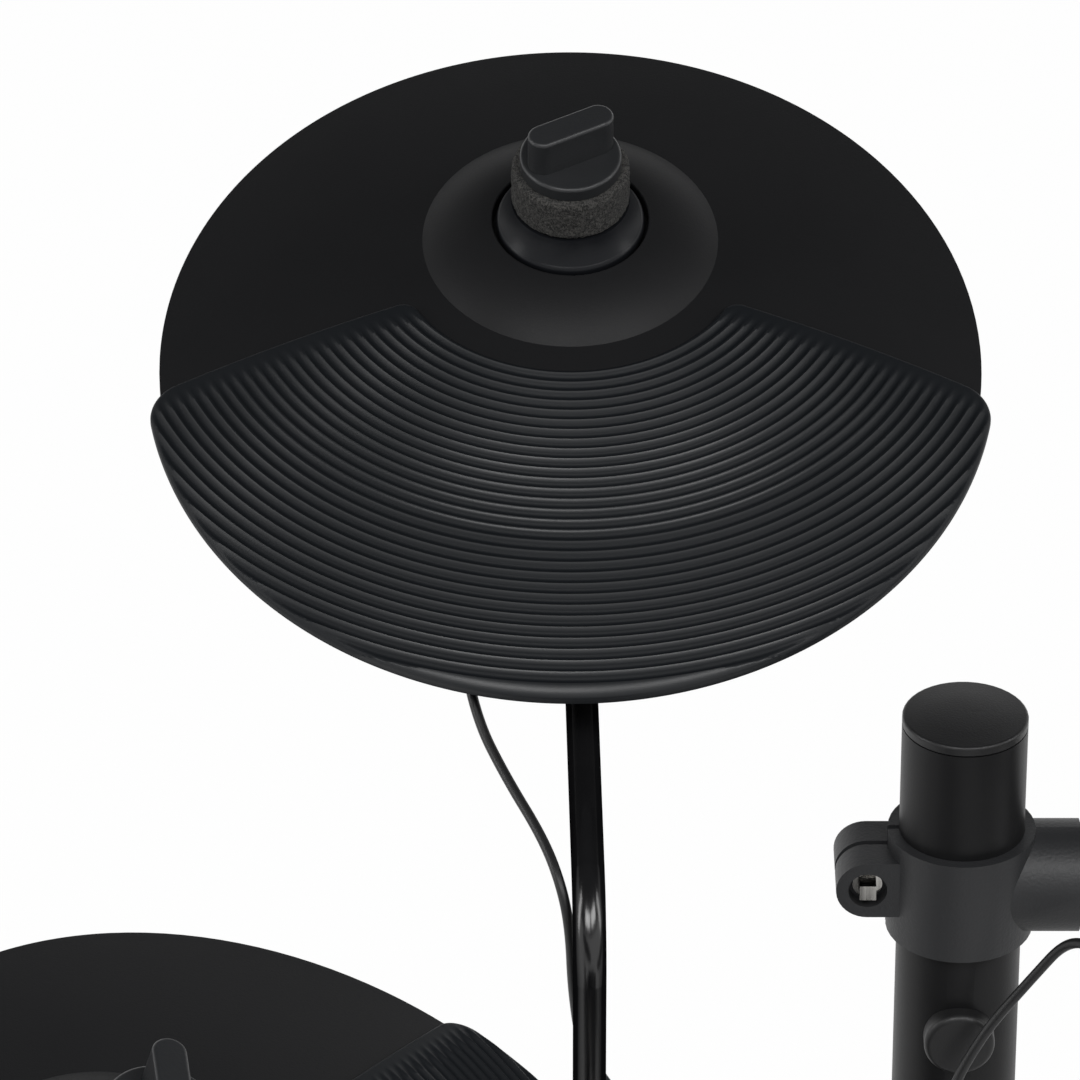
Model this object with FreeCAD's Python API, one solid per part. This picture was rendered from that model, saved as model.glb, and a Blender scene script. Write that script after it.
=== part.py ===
import FreeCAD, Part
import math
import os

os.makedirs("parts", exist_ok=True)
V = FreeCAD.Vector

# Shared small values
fit_gap = 0.05
overrun = 5.0
seat_gap = 0.1

# Rack: four posts, a crossbar behind and a wing bar on each side, swept towards the player
post_od = 38.1
post_wall = 1.5
post_top = 781.2
post_spacing = 520.0
front_post_top = 690.0
bar_od = 32.0
bar_wall = 1.5
wing_length = 430.0
wing_sweep_deg = 52.0
crossbar_drop = 57.7
wing_drop = 171.2

# Post ends: plastic cap above, rubber foot below
cap_lip = 3.4
cap_crown = 0.9
cap_groove = 0.5
cap_edge = 1.0
cap_plug_depth = 16.0
foot_floor = 8.0
foot_depth = 26.0
foot_wall = 5.0
foot_flare = 4.0

# Split clamps: ring, two ears and a square headed bolt
ring_wall = 3.4
ring_height = 34.5
ear_reach = 28.6
ear_radius = 9.6
ear_thickness = 11.0
ear_rise = 2.0
slot_width = 2.0
bolt_diameter = 6.0
bolt_hole_gap = 0.2
counterbore = 11.8
counterbore_depth = 5.0
washer_diameter = 9.0
washer_thickness = 1.2
key_square = 5.0
key_height = 5.2
nut_across = 10.0
nut_thickness = 5.0
stub_od = 34.4
stub_reach = 36.0
spigot_length = 34.0

# Clamps that hold the rods on the bars
grip_od = 28.0
grip_reach = 56.0
grip_floor = 4.0
barrel_od = 25.0
barrel_height = 34.0
barrel_web = 16.0
wing_screw_diameter = 6.0
wing_screw_head = 7.0
wing_screw_neck = 12.0
wing_screw_span = 27.0
wing_screw_depth = 14.0
wing_screw_thickness = 5.0

# Button on the rear left post that keeps the pad leads close to it
button_od = 21.6
button_height = 5.0
button_stem = 8.0
button_stem_od = 8.0
button_drop = 104.6
button_edge = 2.0

# Cymbal pads: bowed disc with a bell, set off centre on its post
disc_radius = 127.0
disc_offset = 38.4
disc_thickness = 3.0
bow_radius = 522.0
bell_radius = 46.0
bell_height = 7.2
bell_edge = 0.5
bell_swell = 1.6
well_radius = 24.2
well_floor = 2.0
ball_radius = 16.0
ball_drop = 4.0
ball_gap = 0.08
hub_radius = 29.0
hub_depth = 12.0

# Ribbed rubber strike zone
rubber_base = 1.7
rubber_overhang = 4.5
rubber_setback = 2.0
rubber_inner = 56.5
rubber_slope_deg = 17.5
rubber_corner_set = 12.0
rubber_corner = 10.0
rubber_inner_corner = 6.0
rib_first = 58.3
rib_pitch = 3.53
rib_count = 31
rib_height = 1.3
rib_sink = 0.1
rib_wave_shares = ((-0.07, 1.0), (0.07, 1.0), (0.16, 0.72), (0.3, 0.18), (0.5, 0.0), (0.7, 0.18),
                   (0.84, 0.72))
margin_width = 2.4
margin_fade = 5.0
lip_width = 3.4
lip_fade = 2.6
skirt_depth = 0.8

# Cymbal post fittings
sleeve_flange = 23.0
sleeve_flange_under = 4.7
sleeve_top = 15.9
sleeve_rim = 6.2
sleeve_seat_inset = 0.6
sleeve_edge = 2.6
sleeve_edge_deg = 52.0
sleeve_waist = 11.9
sleeve_flare = 1.4
sleeve_foot = 17.0
felt_diameter = 38.0
felt_height = 14.9
felt_edge = 1.2
nut_base_diameter = 31.4
nut_base_height = 4.6
nut_wing_width = 9.6
nut_wing_length = 28.5
nut_wing_height = 12.7
nut_turn_deg = 27.8
nut_edge = 1.2
nut_bore_depth = 13.0
tip_diameter = 8.0
tip_length = 10.5

# Pickup box under each cymbal disc, with the lead's jack
pickup_x = -36.0
pickup_y = -50.0
pickup_width = 34.0
pickup_length = 46.0
pickup_depth = 22.0
pickup_edge = 3.0
jack_bore = 6.5
jack_depth = 18.0

# Bent cymbal arms
arm_diameter = 10.0
arm_bend = 26.0
arm_neck = 60.0
arm_tail = 34.0
arm_offset = 52.0
hihat_offset = 45.0

# Cymbal places: mount point, lean of the disc, turn of the strike zone
crash_mount_x = -118.4
crash_mount_y = 144.7
crash_mount_rise = 84.7
crash_lean_deg = 17.0
crash_elbow_drop = 35.8
ride_turn_deg = -25.0
hihat_mount_x = -236.8
hihat_mount_y = -279.1
hihat_mount_rise = 23.8
hihat_lean_deg = 19.2
hihat_way_deg = 52.7
hihat_turn_deg = 73.4
hihat_elbow_drop = 87.2
crash_station = 117.0
hihat_station = 300.0

# Drum pads: shell, rubber head, steel sensor plate under the head, straight rod
pad_radius = 101.0
pad_depth = 40.0
pad_wall = 3.0
pad_floor_edge = 14.0
pad_rod_drop = 24.0
head_thickness = 6.0
head_rim = 11.0
head_rise = 2.2
head_skirt = 9.0
head_skirt_wall = 2.5
sensor_inset = 12.0
sensor_thickness = 1.5
piezo_radius = 17.5
piezo_thickness = 0.8
pad_rod_diameter = 12.0
pad_socket_od = 22.0
pad_socket_length = 60.0
pad_clear = 16.0
pad_jack_deg = 135.0
pad_jack_od = 13.0
pad_jack_length = 8.0
tom_stations = (150.0, 370.0)
tom_lean_deg = 12.0
side_pad_station = 370.0
side_pad_gap = 95.0

# Sound module on a short post on the left wing
module_station = 208.0
module_width = 136.0
module_height = 100.0
module_depth = 38.0
module_wall = 2.5
module_corner = 7.0
module_lean_deg = 25.0
module_setback = 34.0
module_rise = 32.0
module_post_length = 44.0
module_socket_od = 20.0
module_socket_length = 36.0
module_web = 12.0
board_thickness = 1.6
board_gap = 4.0
key_width = 20.0
key_length = 11.0
key_pitch = 29.0
key_row = -30.0
key_shift = -11.0
key_stand = 2.4
key_flange = 2.0
key_edge = 0.8
key_flange_thickness = 1.2
key_gap = 0.35
key_travel = 1.2
dial_radius = 15.0
dial_stand = 11.0
dial_shaft = 6.0
dial_x = 42.0
dial_y = 14.0
dial_notches = 18
notch_radius = 1.4
window_width = 58.0
window_height = 30.0
window_depth = 1.0
window_x = -26.0
window_y = 16.0
module_jack_pitch = 20.0

# Foot pedals: hi-hat control and kick trigger
pedal_width = 96.0
pedal_length = 290.0
pedal_plate = 10.0
pedal_edge = 6.0
treadle_width = 78.0
treadle_length = 262.0
treadle_thickness = 8.0
treadle_lean_deg = 11.0
pedal_axle_height = 19.0
pedal_axle_inset = 22.0
pedal_axle_diameter = 8.0
pedal_knuckle = 18.0
pedal_cheek = 7.0
pedal_cheek_gap = 0.4
tread_ridge = 1.6
tread_ridge_width = 4.0
tread_ridge_count = 11
bumper_radius = 13.0
bumper_height = 9.0
hihat_pedal_x = 70.0
hihat_pedal_y = -370.0
hihat_pedal_deg = -8.0
kick_pedal_x = 290.0
kick_pedal_y = -340.0
kick_pedal_deg = 4.0

# Leads and their plugs
lead_diameter = 3.2
lead_hold = 6.0
wire_wall = 0.8
run_share = 0.45
plug_diameter = 9.5
plug_length = 22.0
plug_neck = 5.6
plug_neck_length = 9.0
plug_pin = 5.8
plug_pin_length = 14.0
crash_route = [(-154.4, 38.1, 810.5), (-152.0, 20.0, 797.0), (-147.0, 2.0, 778.5),
               (-138.1, -14.0, 767.8),
               (-126.8, -32.0, 757.5), (-121.4, -46.0, 749.8), (-118.8, -50.0, 736.7), (-118.0, -49.0, 714.0),
               (-115.0, -47.0, 690.0), (-98.0, -46.0, 664.0), (-72.0, -52.0, 646.0), (-42.0, -64.0, 640.0),
               (-18.0, -84.0, 640.0), (-14.7, -108.8, 641.0)]
tom_route = [(43.4, -65.0, 709.7), (42.0, -46.0, 724.0), (32.0, -31.0, 722.0), (20.0, -30.0, 704.8),
             (6.0, -30.0, 684.8), (-5.0, -34.0, 662.0), (-4.0, -56.0, 646.0), (-4.0, -80.0, 648.0),
             (-21.3, -103.6, 659.0)]

# Places worked out from the sizes above
crossbar_z = post_top - crossbar_drop
wing_z = post_top - wing_drop
crash_mount = V(crash_mount_x, crash_mount_y, post_top + crash_mount_rise)
crash_elbow_z = post_top - crash_elbow_drop
hihat_mount = V(hihat_mount_x, hihat_mount_y, post_top + hihat_mount_rise)
hihat_elbow_z = post_top - hihat_elbow_drop
pedal_places = ((V(hihat_pedal_x, hihat_pedal_y, 0), hihat_pedal_deg),
                (V(kick_pedal_x, kick_pedal_y, 0), kick_pedal_deg))
ring_radius = post_od / 2 + ring_wall
grip_ring_radius = bar_od / 2 + ring_wall
up = V(0, 0, 1)
across = V(1, 0, 0)
back = V(0, 1, 0)
sweep = math.radians(wing_sweep_deg)
left_wing = V(-math.cos(sweep), -math.sin(sweep), 0)
right_wing = V(math.cos(sweep), -math.sin(sweep), 0)
left_inward = V(math.sin(sweep), -math.cos(sweep), 0)
right_inward = V(-math.sin(sweep), -math.cos(sweep), 0)
rear_left = V(0, 0, 0)
rear_right = V(post_spacing, 0, 0)
front_left = rear_left + left_wing * wing_length
front_right = rear_right + right_wing * wing_length


def placed(shape, origin, x_axis, z_axis):
    y_axis = z_axis.cross(x_axis)
    turn = FreeCAD.Rotation(x_axis, y_axis, z_axis, "ZXY")
    copy = shape.copy()
    copy.Placement = FreeCAD.Placement(origin, turn).multiply(copy.Placement)
    return copy


def turned(shape, centre, axis, degrees):
    copy = shape.copy()
    copy.rotate(centre, axis, degrees)
    return copy


def save(name, solids):
    if not isinstance(solids, list):
        solids = [solids]
    shape = solids[0] if len(solids) == 1 else Part.makeCompound(solids)
    shape.exportStep("parts/" + name + ".step")
    volume = sum(solid.Volume for solid in solids)
    print(name, len(solids), "solids", round(volume), "mm3", all(solid.isValid() for solid in solids))


def cylinder(radius, start, direction, length):
    return Part.makeCylinder(radius, length, start, direction)


def pipe_between(od, wall, start, direction, length):
    outer = cylinder(od / 2, start, direction, length)
    return outer.cut(cylinder(od / 2 - wall, start - direction * overrun, direction,
                              length + 2 * overrun))


def outline(points):
    edges = []
    here = V(*points[0])
    for step in points[1:] + [points[0]]:
        if isinstance(step[0], tuple):
            end = V(*step[1])
            edges.append(Part.Arc(here, V(*step[0]), end).toShape())
        else:
            end = V(*step)
            if (end - here).Length > 0:
                edges.append(Part.makeLine(here, end))
        here = end
    return Part.Face(Part.Wire(edges))


def spun(points):
    flat = []
    for step in points:
        if isinstance(step[0], tuple):
            flat.append(tuple((r, 0, z) for r, z in step))
        else:
            flat.append((step[0], 0, step[1]))
    return outline(flat).revolve(V(0, 0, 0), up, 360)


def corner_arc(centre, radius, from_deg, to_deg):
    def at(deg):
        return (centre[0] + radius * math.cos(math.radians(deg)),
                centre[1] + radius * math.sin(math.radians(deg)))
    return (at((from_deg + to_deg) / 2), at(to_deg))


def rounded_path(points, radii):
    edges = []
    here = points[0]
    for i in range(1, len(points) - 1):
        back_way = (points[i - 1] - points[i]).normalize()
        on_way = (points[i + 1] - points[i]).normalize()
        half = (math.pi - back_way.getAngle(on_way)) / 2
        reach = radii[i - 1] * math.tan(half)
        first = points[i] + back_way * reach
        last = points[i] + on_way * reach
        bisector = (back_way + on_way).normalize()
        middle = points[i] + bisector * (radii[i - 1] / math.cos(half) - radii[i - 1])
        edges.append(Part.makeLine(here, first))
        edges.append(Part.Arc(first, middle, last).toShape())
        here = last
    edges.append(Part.makeLine(here, points[-1]))
    return Part.Wire(edges)


def swept_round(path, radius):
    start = path.Edges[0]
    direction = start.tangentAt(start.FirstParameter)
    ring = Part.Wire(Part.makeCircle(radius, start.valueAt(start.FirstParameter), direction))
    return path.makePipeShell([ring], True, False)


# Split clamps. Local frame: ring about Z, branch towards +X.

def split_ring(tube_od, ears_deg):
    radius = tube_od / 2 + ring_wall
    ring = cylinder(radius, V(0, 0, -ring_height / 2), up, ring_height)
    half = ear_thickness + slot_width / 2
    reach = ear_reach + radius - ring_radius
    start = V(-reach, -half, ear_rise)
    ears = cylinder(ear_radius, start, back, 2 * half)
    ears = ears.fuse(Part.makeBox(reach, 2 * half, 2 * ear_radius,
                                  V(-reach, -half, ear_rise - ear_radius)))
    slot = Part.makeBox(reach + ear_radius + overrun, slot_width, ring_height + 2 * overrun,
                        V(-reach - ear_radius - overrun, -slot_width / 2, -ring_height / 2 - overrun))
    hole = cylinder(bolt_diameter / 2 + bolt_hole_gap, start - back * overrun, back,
                    2 * half + 2 * overrun)
    sink = cylinder(counterbore / 2, start - back * overrun, back, counterbore_depth + overrun)
    nut_hold = cylinder(counterbore / 2, start + back * (2 * half - nut_thickness), back,
                        nut_thickness + overrun)
    body = ring.fuse(ears).cut(slot).cut(hole).cut(sink).cut(nut_hold)
    return turned(body, V(0, 0, 0), up, ears_deg - 180)


def ring_bolt(tube_od, ears_deg):
    half = ear_thickness + slot_width / 2
    reach = ear_reach + tube_od / 2 + ring_wall - ring_radius
    seat = V(-reach, -half + counterbore_depth, ear_rise)
    washer = cylinder(washer_diameter / 2, seat - back * washer_thickness, back, washer_thickness)
    corner = seat - back * (washer_thickness + key_height) - V(key_square / 2, 0, key_square / 2)
    head = Part.makeBox(key_square, key_height, key_square, corner)
    shank = cylinder(bolt_diameter / 2, seat, back, 2 * half - counterbore_depth)
    bolt = washer.fuse(head).fuse(shank).removeSplitter()
    nut_start = V(-reach, half - nut_thickness, ear_rise)
    hexagon = Part.makePolygon([nut_start + V(math.cos(k * math.pi / 3), 0,
                                              math.sin(k * math.pi / 3)) * (nut_across / 2)
                                for k in range(7)])
    nut = Part.Face(hexagon).extrude(back * nut_thickness)
    nut = nut.cut(cylinder(bolt_diameter / 2 + fit_gap, nut_start - back * overrun, back,
                           nut_thickness + 2 * overrun))
    return [turned(piece, V(0, 0, 0), up, ears_deg - 180) for piece in (bolt, nut)]


def tube_clamp():
    stub = cylinder(stub_od / 2, V(0, 0, 0), across, stub_reach)
    spigot = cylinder(bar_od / 2 - bar_wall - fit_gap, V(0, 0, 0), across, stub_reach + spigot_length)
    bore = cylinder(post_od / 2 + fit_gap, V(0, 0, -ring_height), up, 2 * ring_height)
    return split_ring(post_od, 180).fuse(stub).fuse(spigot).cut(bore).removeSplitter()


def bar_bore():
    return cylinder(bar_od / 2 + fit_gap, V(0, 0, -ring_height), up, 2 * ring_height)


def grip_clamp(rod_diameter):
    grip = cylinder(grip_od / 2, V(0, 0, 0), across, grip_reach)
    socket = cylinder(rod_diameter / 2 + fit_gap, across * (grip_ring_radius + grip_floor), across,
                      grip_reach)
    screw_hole = cylinder(wing_screw_diameter / 2 + fit_gap,
                          across * (grip_reach - wing_screw_depth), up, grip_od)
    return split_ring(bar_od,
                      -90).fuse(grip).cut(bar_bore()).cut(socket).cut(screw_hole).removeSplitter()


def barrel_clamp(offset):
    barrel = cylinder(barrel_od / 2, V(offset, -barrel_height / 2, 0), back, barrel_height)
    web = Part.makeBox(offset, barrel_height, barrel_web, V(0, -barrel_height / 2, -barrel_web / 2))
    hole = cylinder(arm_diameter / 2 + fit_gap, V(offset, -barrel_height, 0), back, 2 * barrel_height)
    screw_hole = cylinder(wing_screw_diameter / 2 + fit_gap, V(offset, 0, 0), across, barrel_od)
    return split_ring(bar_od,
                      180).fuse(web).fuse(barrel).cut(bar_bore()).cut(hole).cut(screw_hole).removeSplitter()


def wing_screw(rod_diameter, housing_radius):
    start = rod_diameter / 2 + seat_gap
    neck_end = housing_radius + wing_screw_neck
    shank = cylinder(wing_screw_diameter / 2, up * start, up, neck_end - start)
    collar = cylinder(wing_screw_head, up * (housing_radius + seat_gap), up, wing_screw_neck - seat_gap)
    half = wing_screw_span / 2
    end = wing_screw_depth / 2
    low = neck_end - wing_screw_thickness
    wings = Part.makeBox(wing_screw_span - 2 * end, wing_screw_thickness, wing_screw_depth,
                         V(end - half, -wing_screw_thickness / 2, low))
    for side in (-1, 1):
        wings = wings.fuse(cylinder(end,
                                    V(side * (half - end), -wing_screw_thickness / 2, low + end), back,
                                    wing_screw_thickness))
    return shank.fuse(collar).fuse(wings).removeSplitter()


# Posts, bars and their ends

def post(top):
    return pipe_between(post_od, post_wall, V(0, 0, foot_floor), up, top - cap_lip - foot_floor)


def post_cap():
    plug = post_od / 2 - post_wall - fit_gap
    rim = post_od / 2
    return spun([(0, cap_lip + cap_crown),
                 ((rim / 2, cap_lip + cap_crown * 3 / 4), (rim - cap_edge, cap_lip)),
                 corner_arc((rim - cap_edge, cap_lip - cap_edge), cap_edge, 90, 0),
                 (rim, cap_groove), (rim - cap_groove, 0), (plug, 0), (plug, -cap_plug_depth),
                 (0, -cap_plug_depth)])


def post_foot():
    sock = post_od / 2 + fit_gap
    return spun([(0, 0), (sock + foot_wall + foot_flare - cap_edge, 0),
                 (sock + foot_wall + foot_flare, cap_edge),
                 (sock + foot_wall, foot_floor + foot_depth), (sock,
                                                               foot_floor + foot_depth), (sock, foot_floor),
                 (0, foot_floor)])


def cable_button():
    stem_start = V(0, -post_od / 2 + post_wall, 0)
    disc = cylinder(button_od / 2, V(0, -post_od / 2 - button_height, 0), back,
                    button_height + post_wall)
    disc = disc.makeFillet(button_edge,
                           [e for e in disc.Edges if e.BoundBox.YMax < -post_od / 2 - button_height / 2])
    disc = disc.cut(cylinder(post_od / 2 + fit_gap, V(0, 0, -button_od), up, 2 * button_od))
    stem = cylinder(button_stem_od / 2, stem_start - back * (post_wall + button_height / 2), back,
                    button_stem + post_wall + button_height / 2)
    return disc.fuse(stem).removeSplitter()


# Cymbal pads. Local frame: post axis is Z with the apex of the bow at the origin, front is -Y.

def bow(r):
    return math.sqrt(bow_radius ** 2 - r ** 2) - bow_radius


def bow_step(r_from, r_to, lift):
    middle = (r_from + r_to) / 2
    return ((middle, bow(middle) + lift), (r_to, bow(r_to) + lift))


def ball_r(z, gap):
    return math.sqrt((ball_radius + gap) ** 2 - (z + ball_drop) ** 2)


disc_reach = disc_radius + disc_offset + rubber_overhang + overrun
rim_centre = V(0, -disc_offset, 0)


def rim_cylinder(radius):
    return cylinder(radius, rim_centre - up * disc_reach, up, 2 * disc_reach)


def cymbal_disc():
    crest = well_radius + bell_edge
    middle = (crest + bell_radius) / 2
    middle_z = (bell_height + bow(bell_radius)) / 2 + bell_swell
    profile = [(well_radius, well_floor), (well_radius, bell_height - bell_edge),
               corner_arc((crest, bell_height - bell_edge), bell_edge, 180, 90),
               ((middle, middle_z), (bell_radius, bow(bell_radius))),
               bow_step(bell_radius, disc_reach, 0),
               (disc_reach, bow(disc_reach) - disc_thickness),
               bow_step(disc_reach, bell_radius, -disc_thickness),
               (hub_radius, middle_z - disc_thickness * 2), (hub_radius, -hub_depth),
               (ball_r(-hub_depth, ball_gap), -hub_depth),
               ((ball_radius + ball_gap, -ball_drop), (ball_r(well_floor, ball_gap), well_floor))]
    return spun(profile).common(rim_cylinder(disc_radius))


rubber_centre = V(0, rubber_setback - disc_offset, 0)
rubber_radius = disc_radius + rubber_overhang
rubber_crest = rubber_base + rib_height


def rubber_cylinder(radius):
    return cylinder(radius, rubber_centre - up * disc_reach, up, 2 * disc_reach)


def rubber_layer(low, high):
    inner = rubber_inner - overrun
    return spun([(inner, bow(inner) + low), bow_step(inner, disc_reach, low),
                 (disc_reach, bow(disc_reach) + high), bow_step(disc_reach, inner, high)])


def rubber_outline():
    far = 2 * disc_reach
    drop = far * math.tan(math.radians(rubber_slope_deg))
    wedge = outline([(0, -rubber_corner_set, 0), (far, -rubber_corner_set - drop, 0),
                     (far, -2 * far, 0),
                     (-far, -2 * far, 0), (-far, -rubber_corner_set - drop, 0)])
    wedge = wedge.extrude(up * (2 * disc_reach))
    wedge.translate(V(0, 0, -disc_reach))
    sector = rubber_cylinder(rubber_radius).common(wedge)
    sector = sector.cut(cylinder(rubber_inner, up * (-2 * disc_reach), up, 4 * disc_reach))
    upright = [e for e in sector.Edges if e.BoundBox.XLength + e.BoundBox.YLength < seat_gap]
    outer = [e for e in upright if e.CenterOfMass.Length > rubber_inner + overrun]
    sector = sector.makeFillet(rubber_corner, outer)
    upright = [e for e in sector.Edges if e.BoundBox.XLength + e.BoundBox.YLength < seat_gap]
    inner = [e for e in upright if e.CenterOfMass.Length < rubber_inner + overrun]
    return sector.makeFillet(rubber_inner_corner, inner)


def bow_band(axis, out, points):
    # A ring about a line through the middle of the bow's ball, so it keeps its height over the bow
    middle = up * -bow_radius
    corners = [middle + axis * along + out * off for along, off in points]
    face = Part.Face(Part.makePolygon(corners + corners[:1]))
    return face.revolve(middle, axis, 360)


def side_band(side):
    slope = math.radians(rubber_slope_deg)
    inward = V(-side * math.sin(slope), -math.cos(slope), 0)
    start = rubber_corner_set * math.cos(slope)

    def at(inset, lift):
        along = start + inset
        return (along, math.sqrt(bow_radius ** 2 - along ** 2) + lift)
    return bow_band(inward, up, [at(-overrun, 0), at(margin_width + margin_fade, 0),
                                 at(margin_width + margin_fade, rubber_base / 2),
                                 at(margin_width, rubber_crest), at(margin_width, 2 * overrun),
                                 at(-overrun, 2 * overrun)])


def rim_band():
    tilt = math.asin(-rubber_centre.y / bow_radius)
    axis = V(0, -math.sin(tilt), math.cos(tilt))

    def at(radius, lift):
        return (math.sqrt(bow_radius ** 2 - radius ** 2) + lift, radius)
    edge = rubber_radius - lip_width
    return bow_band(axis, across, [at(rubber_radius + overrun, 0), at(edge - lip_fade, 0),
                                   at(edge - lip_fade, rubber_base / 2), at(edge, rubber_crest),
                                   at(edge, 2 * overrun), at(rubber_radius + overrun, 2 * overrun)])


def rubber_grooves():
    deep = rib_height - rib_sink

    def level(r, lift):
        return (r, bow(r) + lift)
    wave = [(i + along, rubber_base + rise * deep)
            for i in range(rib_count) for along, rise in rib_wave_shares]
    wave = [(rib_first + rib_pitch * along, lift) for along, lift in wave
            if along < rib_count - 1 + rib_wave_shares[2][0]]
    near = wave[0][0]
    far = wave[-1][0]
    return spun([level(r, lift) for r, lift in wave] + [level(far, overrun), bow_step(far, near, overrun)])


def cymbal_rubber():
    sector = rubber_outline()
    skirt_band = sector.cut(rim_cylinder(disc_radius + fit_gap))
    skirt = rubber_layer(-skirt_depth, rubber_crest).common(skirt_band)
    plain = rubber_layer(0, rubber_crest).common(sector).fuse(skirt).removeSplitter()
    grooves = rubber_grooves()
    for band in (side_band(1), side_band(-1), rim_band()):
        grooves = grooves.cut(band)
    return plain.cut(grooves)


def cymbal_sleeve():
    under = ball_r(sleeve_flange_under, 0)
    seat = felt_diameter / 2 - sleeve_seat_inset
    rounding = corner_arc((sleeve_flange - sleeve_edge, sleeve_rim), sleeve_edge, 0, sleeve_edge_deg)
    return spun([(tip_diameter / 2 + fit_gap, -sleeve_foot), (ball_r(-sleeve_foot, 0), -sleeve_foot),
                 ((ball_radius, -ball_drop), (under, sleeve_flange_under)),
                 (sleeve_flange, sleeve_flange_under), (sleeve_flange, sleeve_rim), rounding,
                 ((seat + sleeve_flare, sleeve_waist), (seat, sleeve_top)),
                 (tip_diameter / 2 + fit_gap, sleeve_top)])


def felt_washer():
    r = felt_diameter / 2
    e = felt_edge
    low = sleeve_top
    high = sleeve_top + felt_height
    bore = tip_diameter / 2 + seat_gap
    return spun([(bore, low), (r - e, low), corner_arc((r - e, low + e), e, -90, 0), (r, high - e),
                 corner_arc((r - e, high - e), e, 0, 90), (bore, high)])


def wing_nut():
    low = sleeve_top + felt_height + seat_gap
    base = cylinder(nut_base_diameter / 2, up * low, up, nut_base_height)
    base = base.makeFillet(nut_edge,
                           [e for e in base.Edges if e.BoundBox.ZMin > low + nut_base_height / 2])
    half = (nut_wing_length - nut_wing_width) / 2
    bar_low = V(-half, -nut_wing_width / 2, low)
    bar = Part.makeBox(2 * half, nut_wing_width, nut_base_height + nut_wing_height, bar_low)
    for side in (-1, 1):
        bar = bar.fuse(cylinder(nut_wing_width / 2, V(side * half, 0, low), up,
                                nut_base_height + nut_wing_height))
    bar = bar.removeSplitter()
    bar = bar.makeFillet(nut_edge,
                         [e for e in bar.Edges if e.BoundBox.ZMin > low + nut_base_height + nut_edge])
    bore = cylinder(tip_diameter / 2 + fit_gap, up * (low - overrun), up, nut_bore_depth + overrun)
    return turned(base.fuse(bar).cut(bore).removeSplitter(), V(0, 0, 0), up, nut_turn_deg)


def pickup_top(x, y):
    return bow(math.hypot(x, y)) - disc_thickness


pickup_z = pickup_top(abs(pickup_x) + pickup_width / 2, abs(pickup_y) + pickup_length / 2)
jack_z = pickup_z - pickup_depth / 2
jack_front = V(pickup_x, pickup_y - pickup_length / 2, jack_z)


def pickup_box():
    corner = V(pickup_x - pickup_width / 2, pickup_y - pickup_length / 2, pickup_z - pickup_depth)
    block = Part.makeBox(pickup_width, pickup_length, pickup_depth, corner)
    block = block.makeFillet(pickup_edge,
                             [e for e in block.Edges if e.BoundBox.ZMax < pickup_z - pickup_depth / 2])
    riser = Part.makeBox(pickup_width, pickup_length, pickup_depth, corner + up * pickup_depth)
    riser = riser.common(spun([(0, -pickup_depth * 2), (disc_reach, -pickup_depth * 2),
                               (disc_reach, bow(disc_reach) - disc_thickness),
                               bow_step(disc_reach, 0, -disc_thickness)]))
    jack = cylinder(jack_bore / 2, jack_front - back * overrun, back, jack_depth + overrun)
    return block.fuse(riser).removeSplitter().cut(jack)


# Arms, in the kit's frame: a leg in its clamp, a boom and a neck on the cymbal's own axis

def lean_axis(lean_deg, way_deg):
    lean = math.radians(lean_deg)
    way = math.radians(way_deg)
    return V(math.sin(lean) * math.sin(way), -math.sin(lean) * math.cos(way), math.cos(lean))


def bent_arm(leg_foot, elbow_z, mount, axis):
    shoulder = mount - axis * sleeve_foot
    points = [leg_foot, V(leg_foot.x, leg_foot.y, elbow_z), mount - axis * arm_neck, shoulder]
    rod = swept_round(rounded_path(points, [arm_bend, arm_bend]), arm_diameter / 2)
    tip_height = sleeve_foot + sleeve_top + felt_height + tip_length
    return rod.fuse(cylinder(tip_diameter / 2, shoulder, axis, tip_height)).removeSplitter()


def cymbal_at(shape, mount, axis, turn_deg):
    side = V(math.cos(math.radians(turn_deg)), math.sin(math.radians(turn_deg)), 0)
    side = side - axis * side.dot(axis)
    return placed(shape, mount, side.normalize(), axis)


# Drum pads. Local frame: rod along Y into the back of the shell, striking face upwards.

def pad_shell():
    r = pad_radius - head_skirt_wall
    low = -pad_depth
    e = pad_floor_edge
    w = pad_wall
    cup = spun([(0, low), (r - e, low), corner_arc((r - e, low + e), e, -90, 0), (r, -head_thickness),
                (r - w, -head_thickness), (r - w, low + e), corner_arc((r - e, low + e), e - w, 0, -90),
                (0, low + w)])
    rod_z = V(0, 0, -pad_rod_drop)
    socket = cylinder(pad_socket_od / 2, rod_z + back * (r - pad_socket_length), back,
                      pad_socket_length - w / 2)
    rib = Part.makeBox(w, pad_socket_length - w / 2, pad_depth - pad_rod_drop - w / 2,
                       V(-w / 2, r - pad_socket_length, low + w / 2))
    jack_way = V(math.cos(math.radians(pad_jack_deg)), math.sin(math.radians(pad_jack_deg)), 0)
    collar = cylinder(pad_jack_od / 2, rod_z + jack_way * (r - w / 2 - pad_jack_length), jack_way,
                      2 * pad_jack_length)
    bore = cylinder(pad_rod_diameter / 2 + fit_gap,
                    rod_z + back * (r - pad_socket_length - overrun), back,
                    pad_socket_length + 2 * overrun)
    jack = cylinder(jack_bore / 2, rod_z + jack_way * (r - 3 * pad_jack_length), jack_way,
                    6 * pad_jack_length)
    return cup.fuse(socket).fuse(rib).fuse(collar).cut(bore).cut(jack).removeSplitter()


def pad_head():
    r = pad_radius
    e = head_rise
    return spun([(0, -head_thickness), (r - head_skirt_wall + fit_gap, -head_thickness),
                 (r - head_skirt_wall + fit_gap, -head_thickness - head_skirt),
                 (r, -head_thickness - head_skirt),
                 (r, 0), corner_arc((r - e, 0), e, 0, 90), (r - head_rim, head_rise),
                 (r - head_rim - e, 0), (0, 0)])


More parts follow.
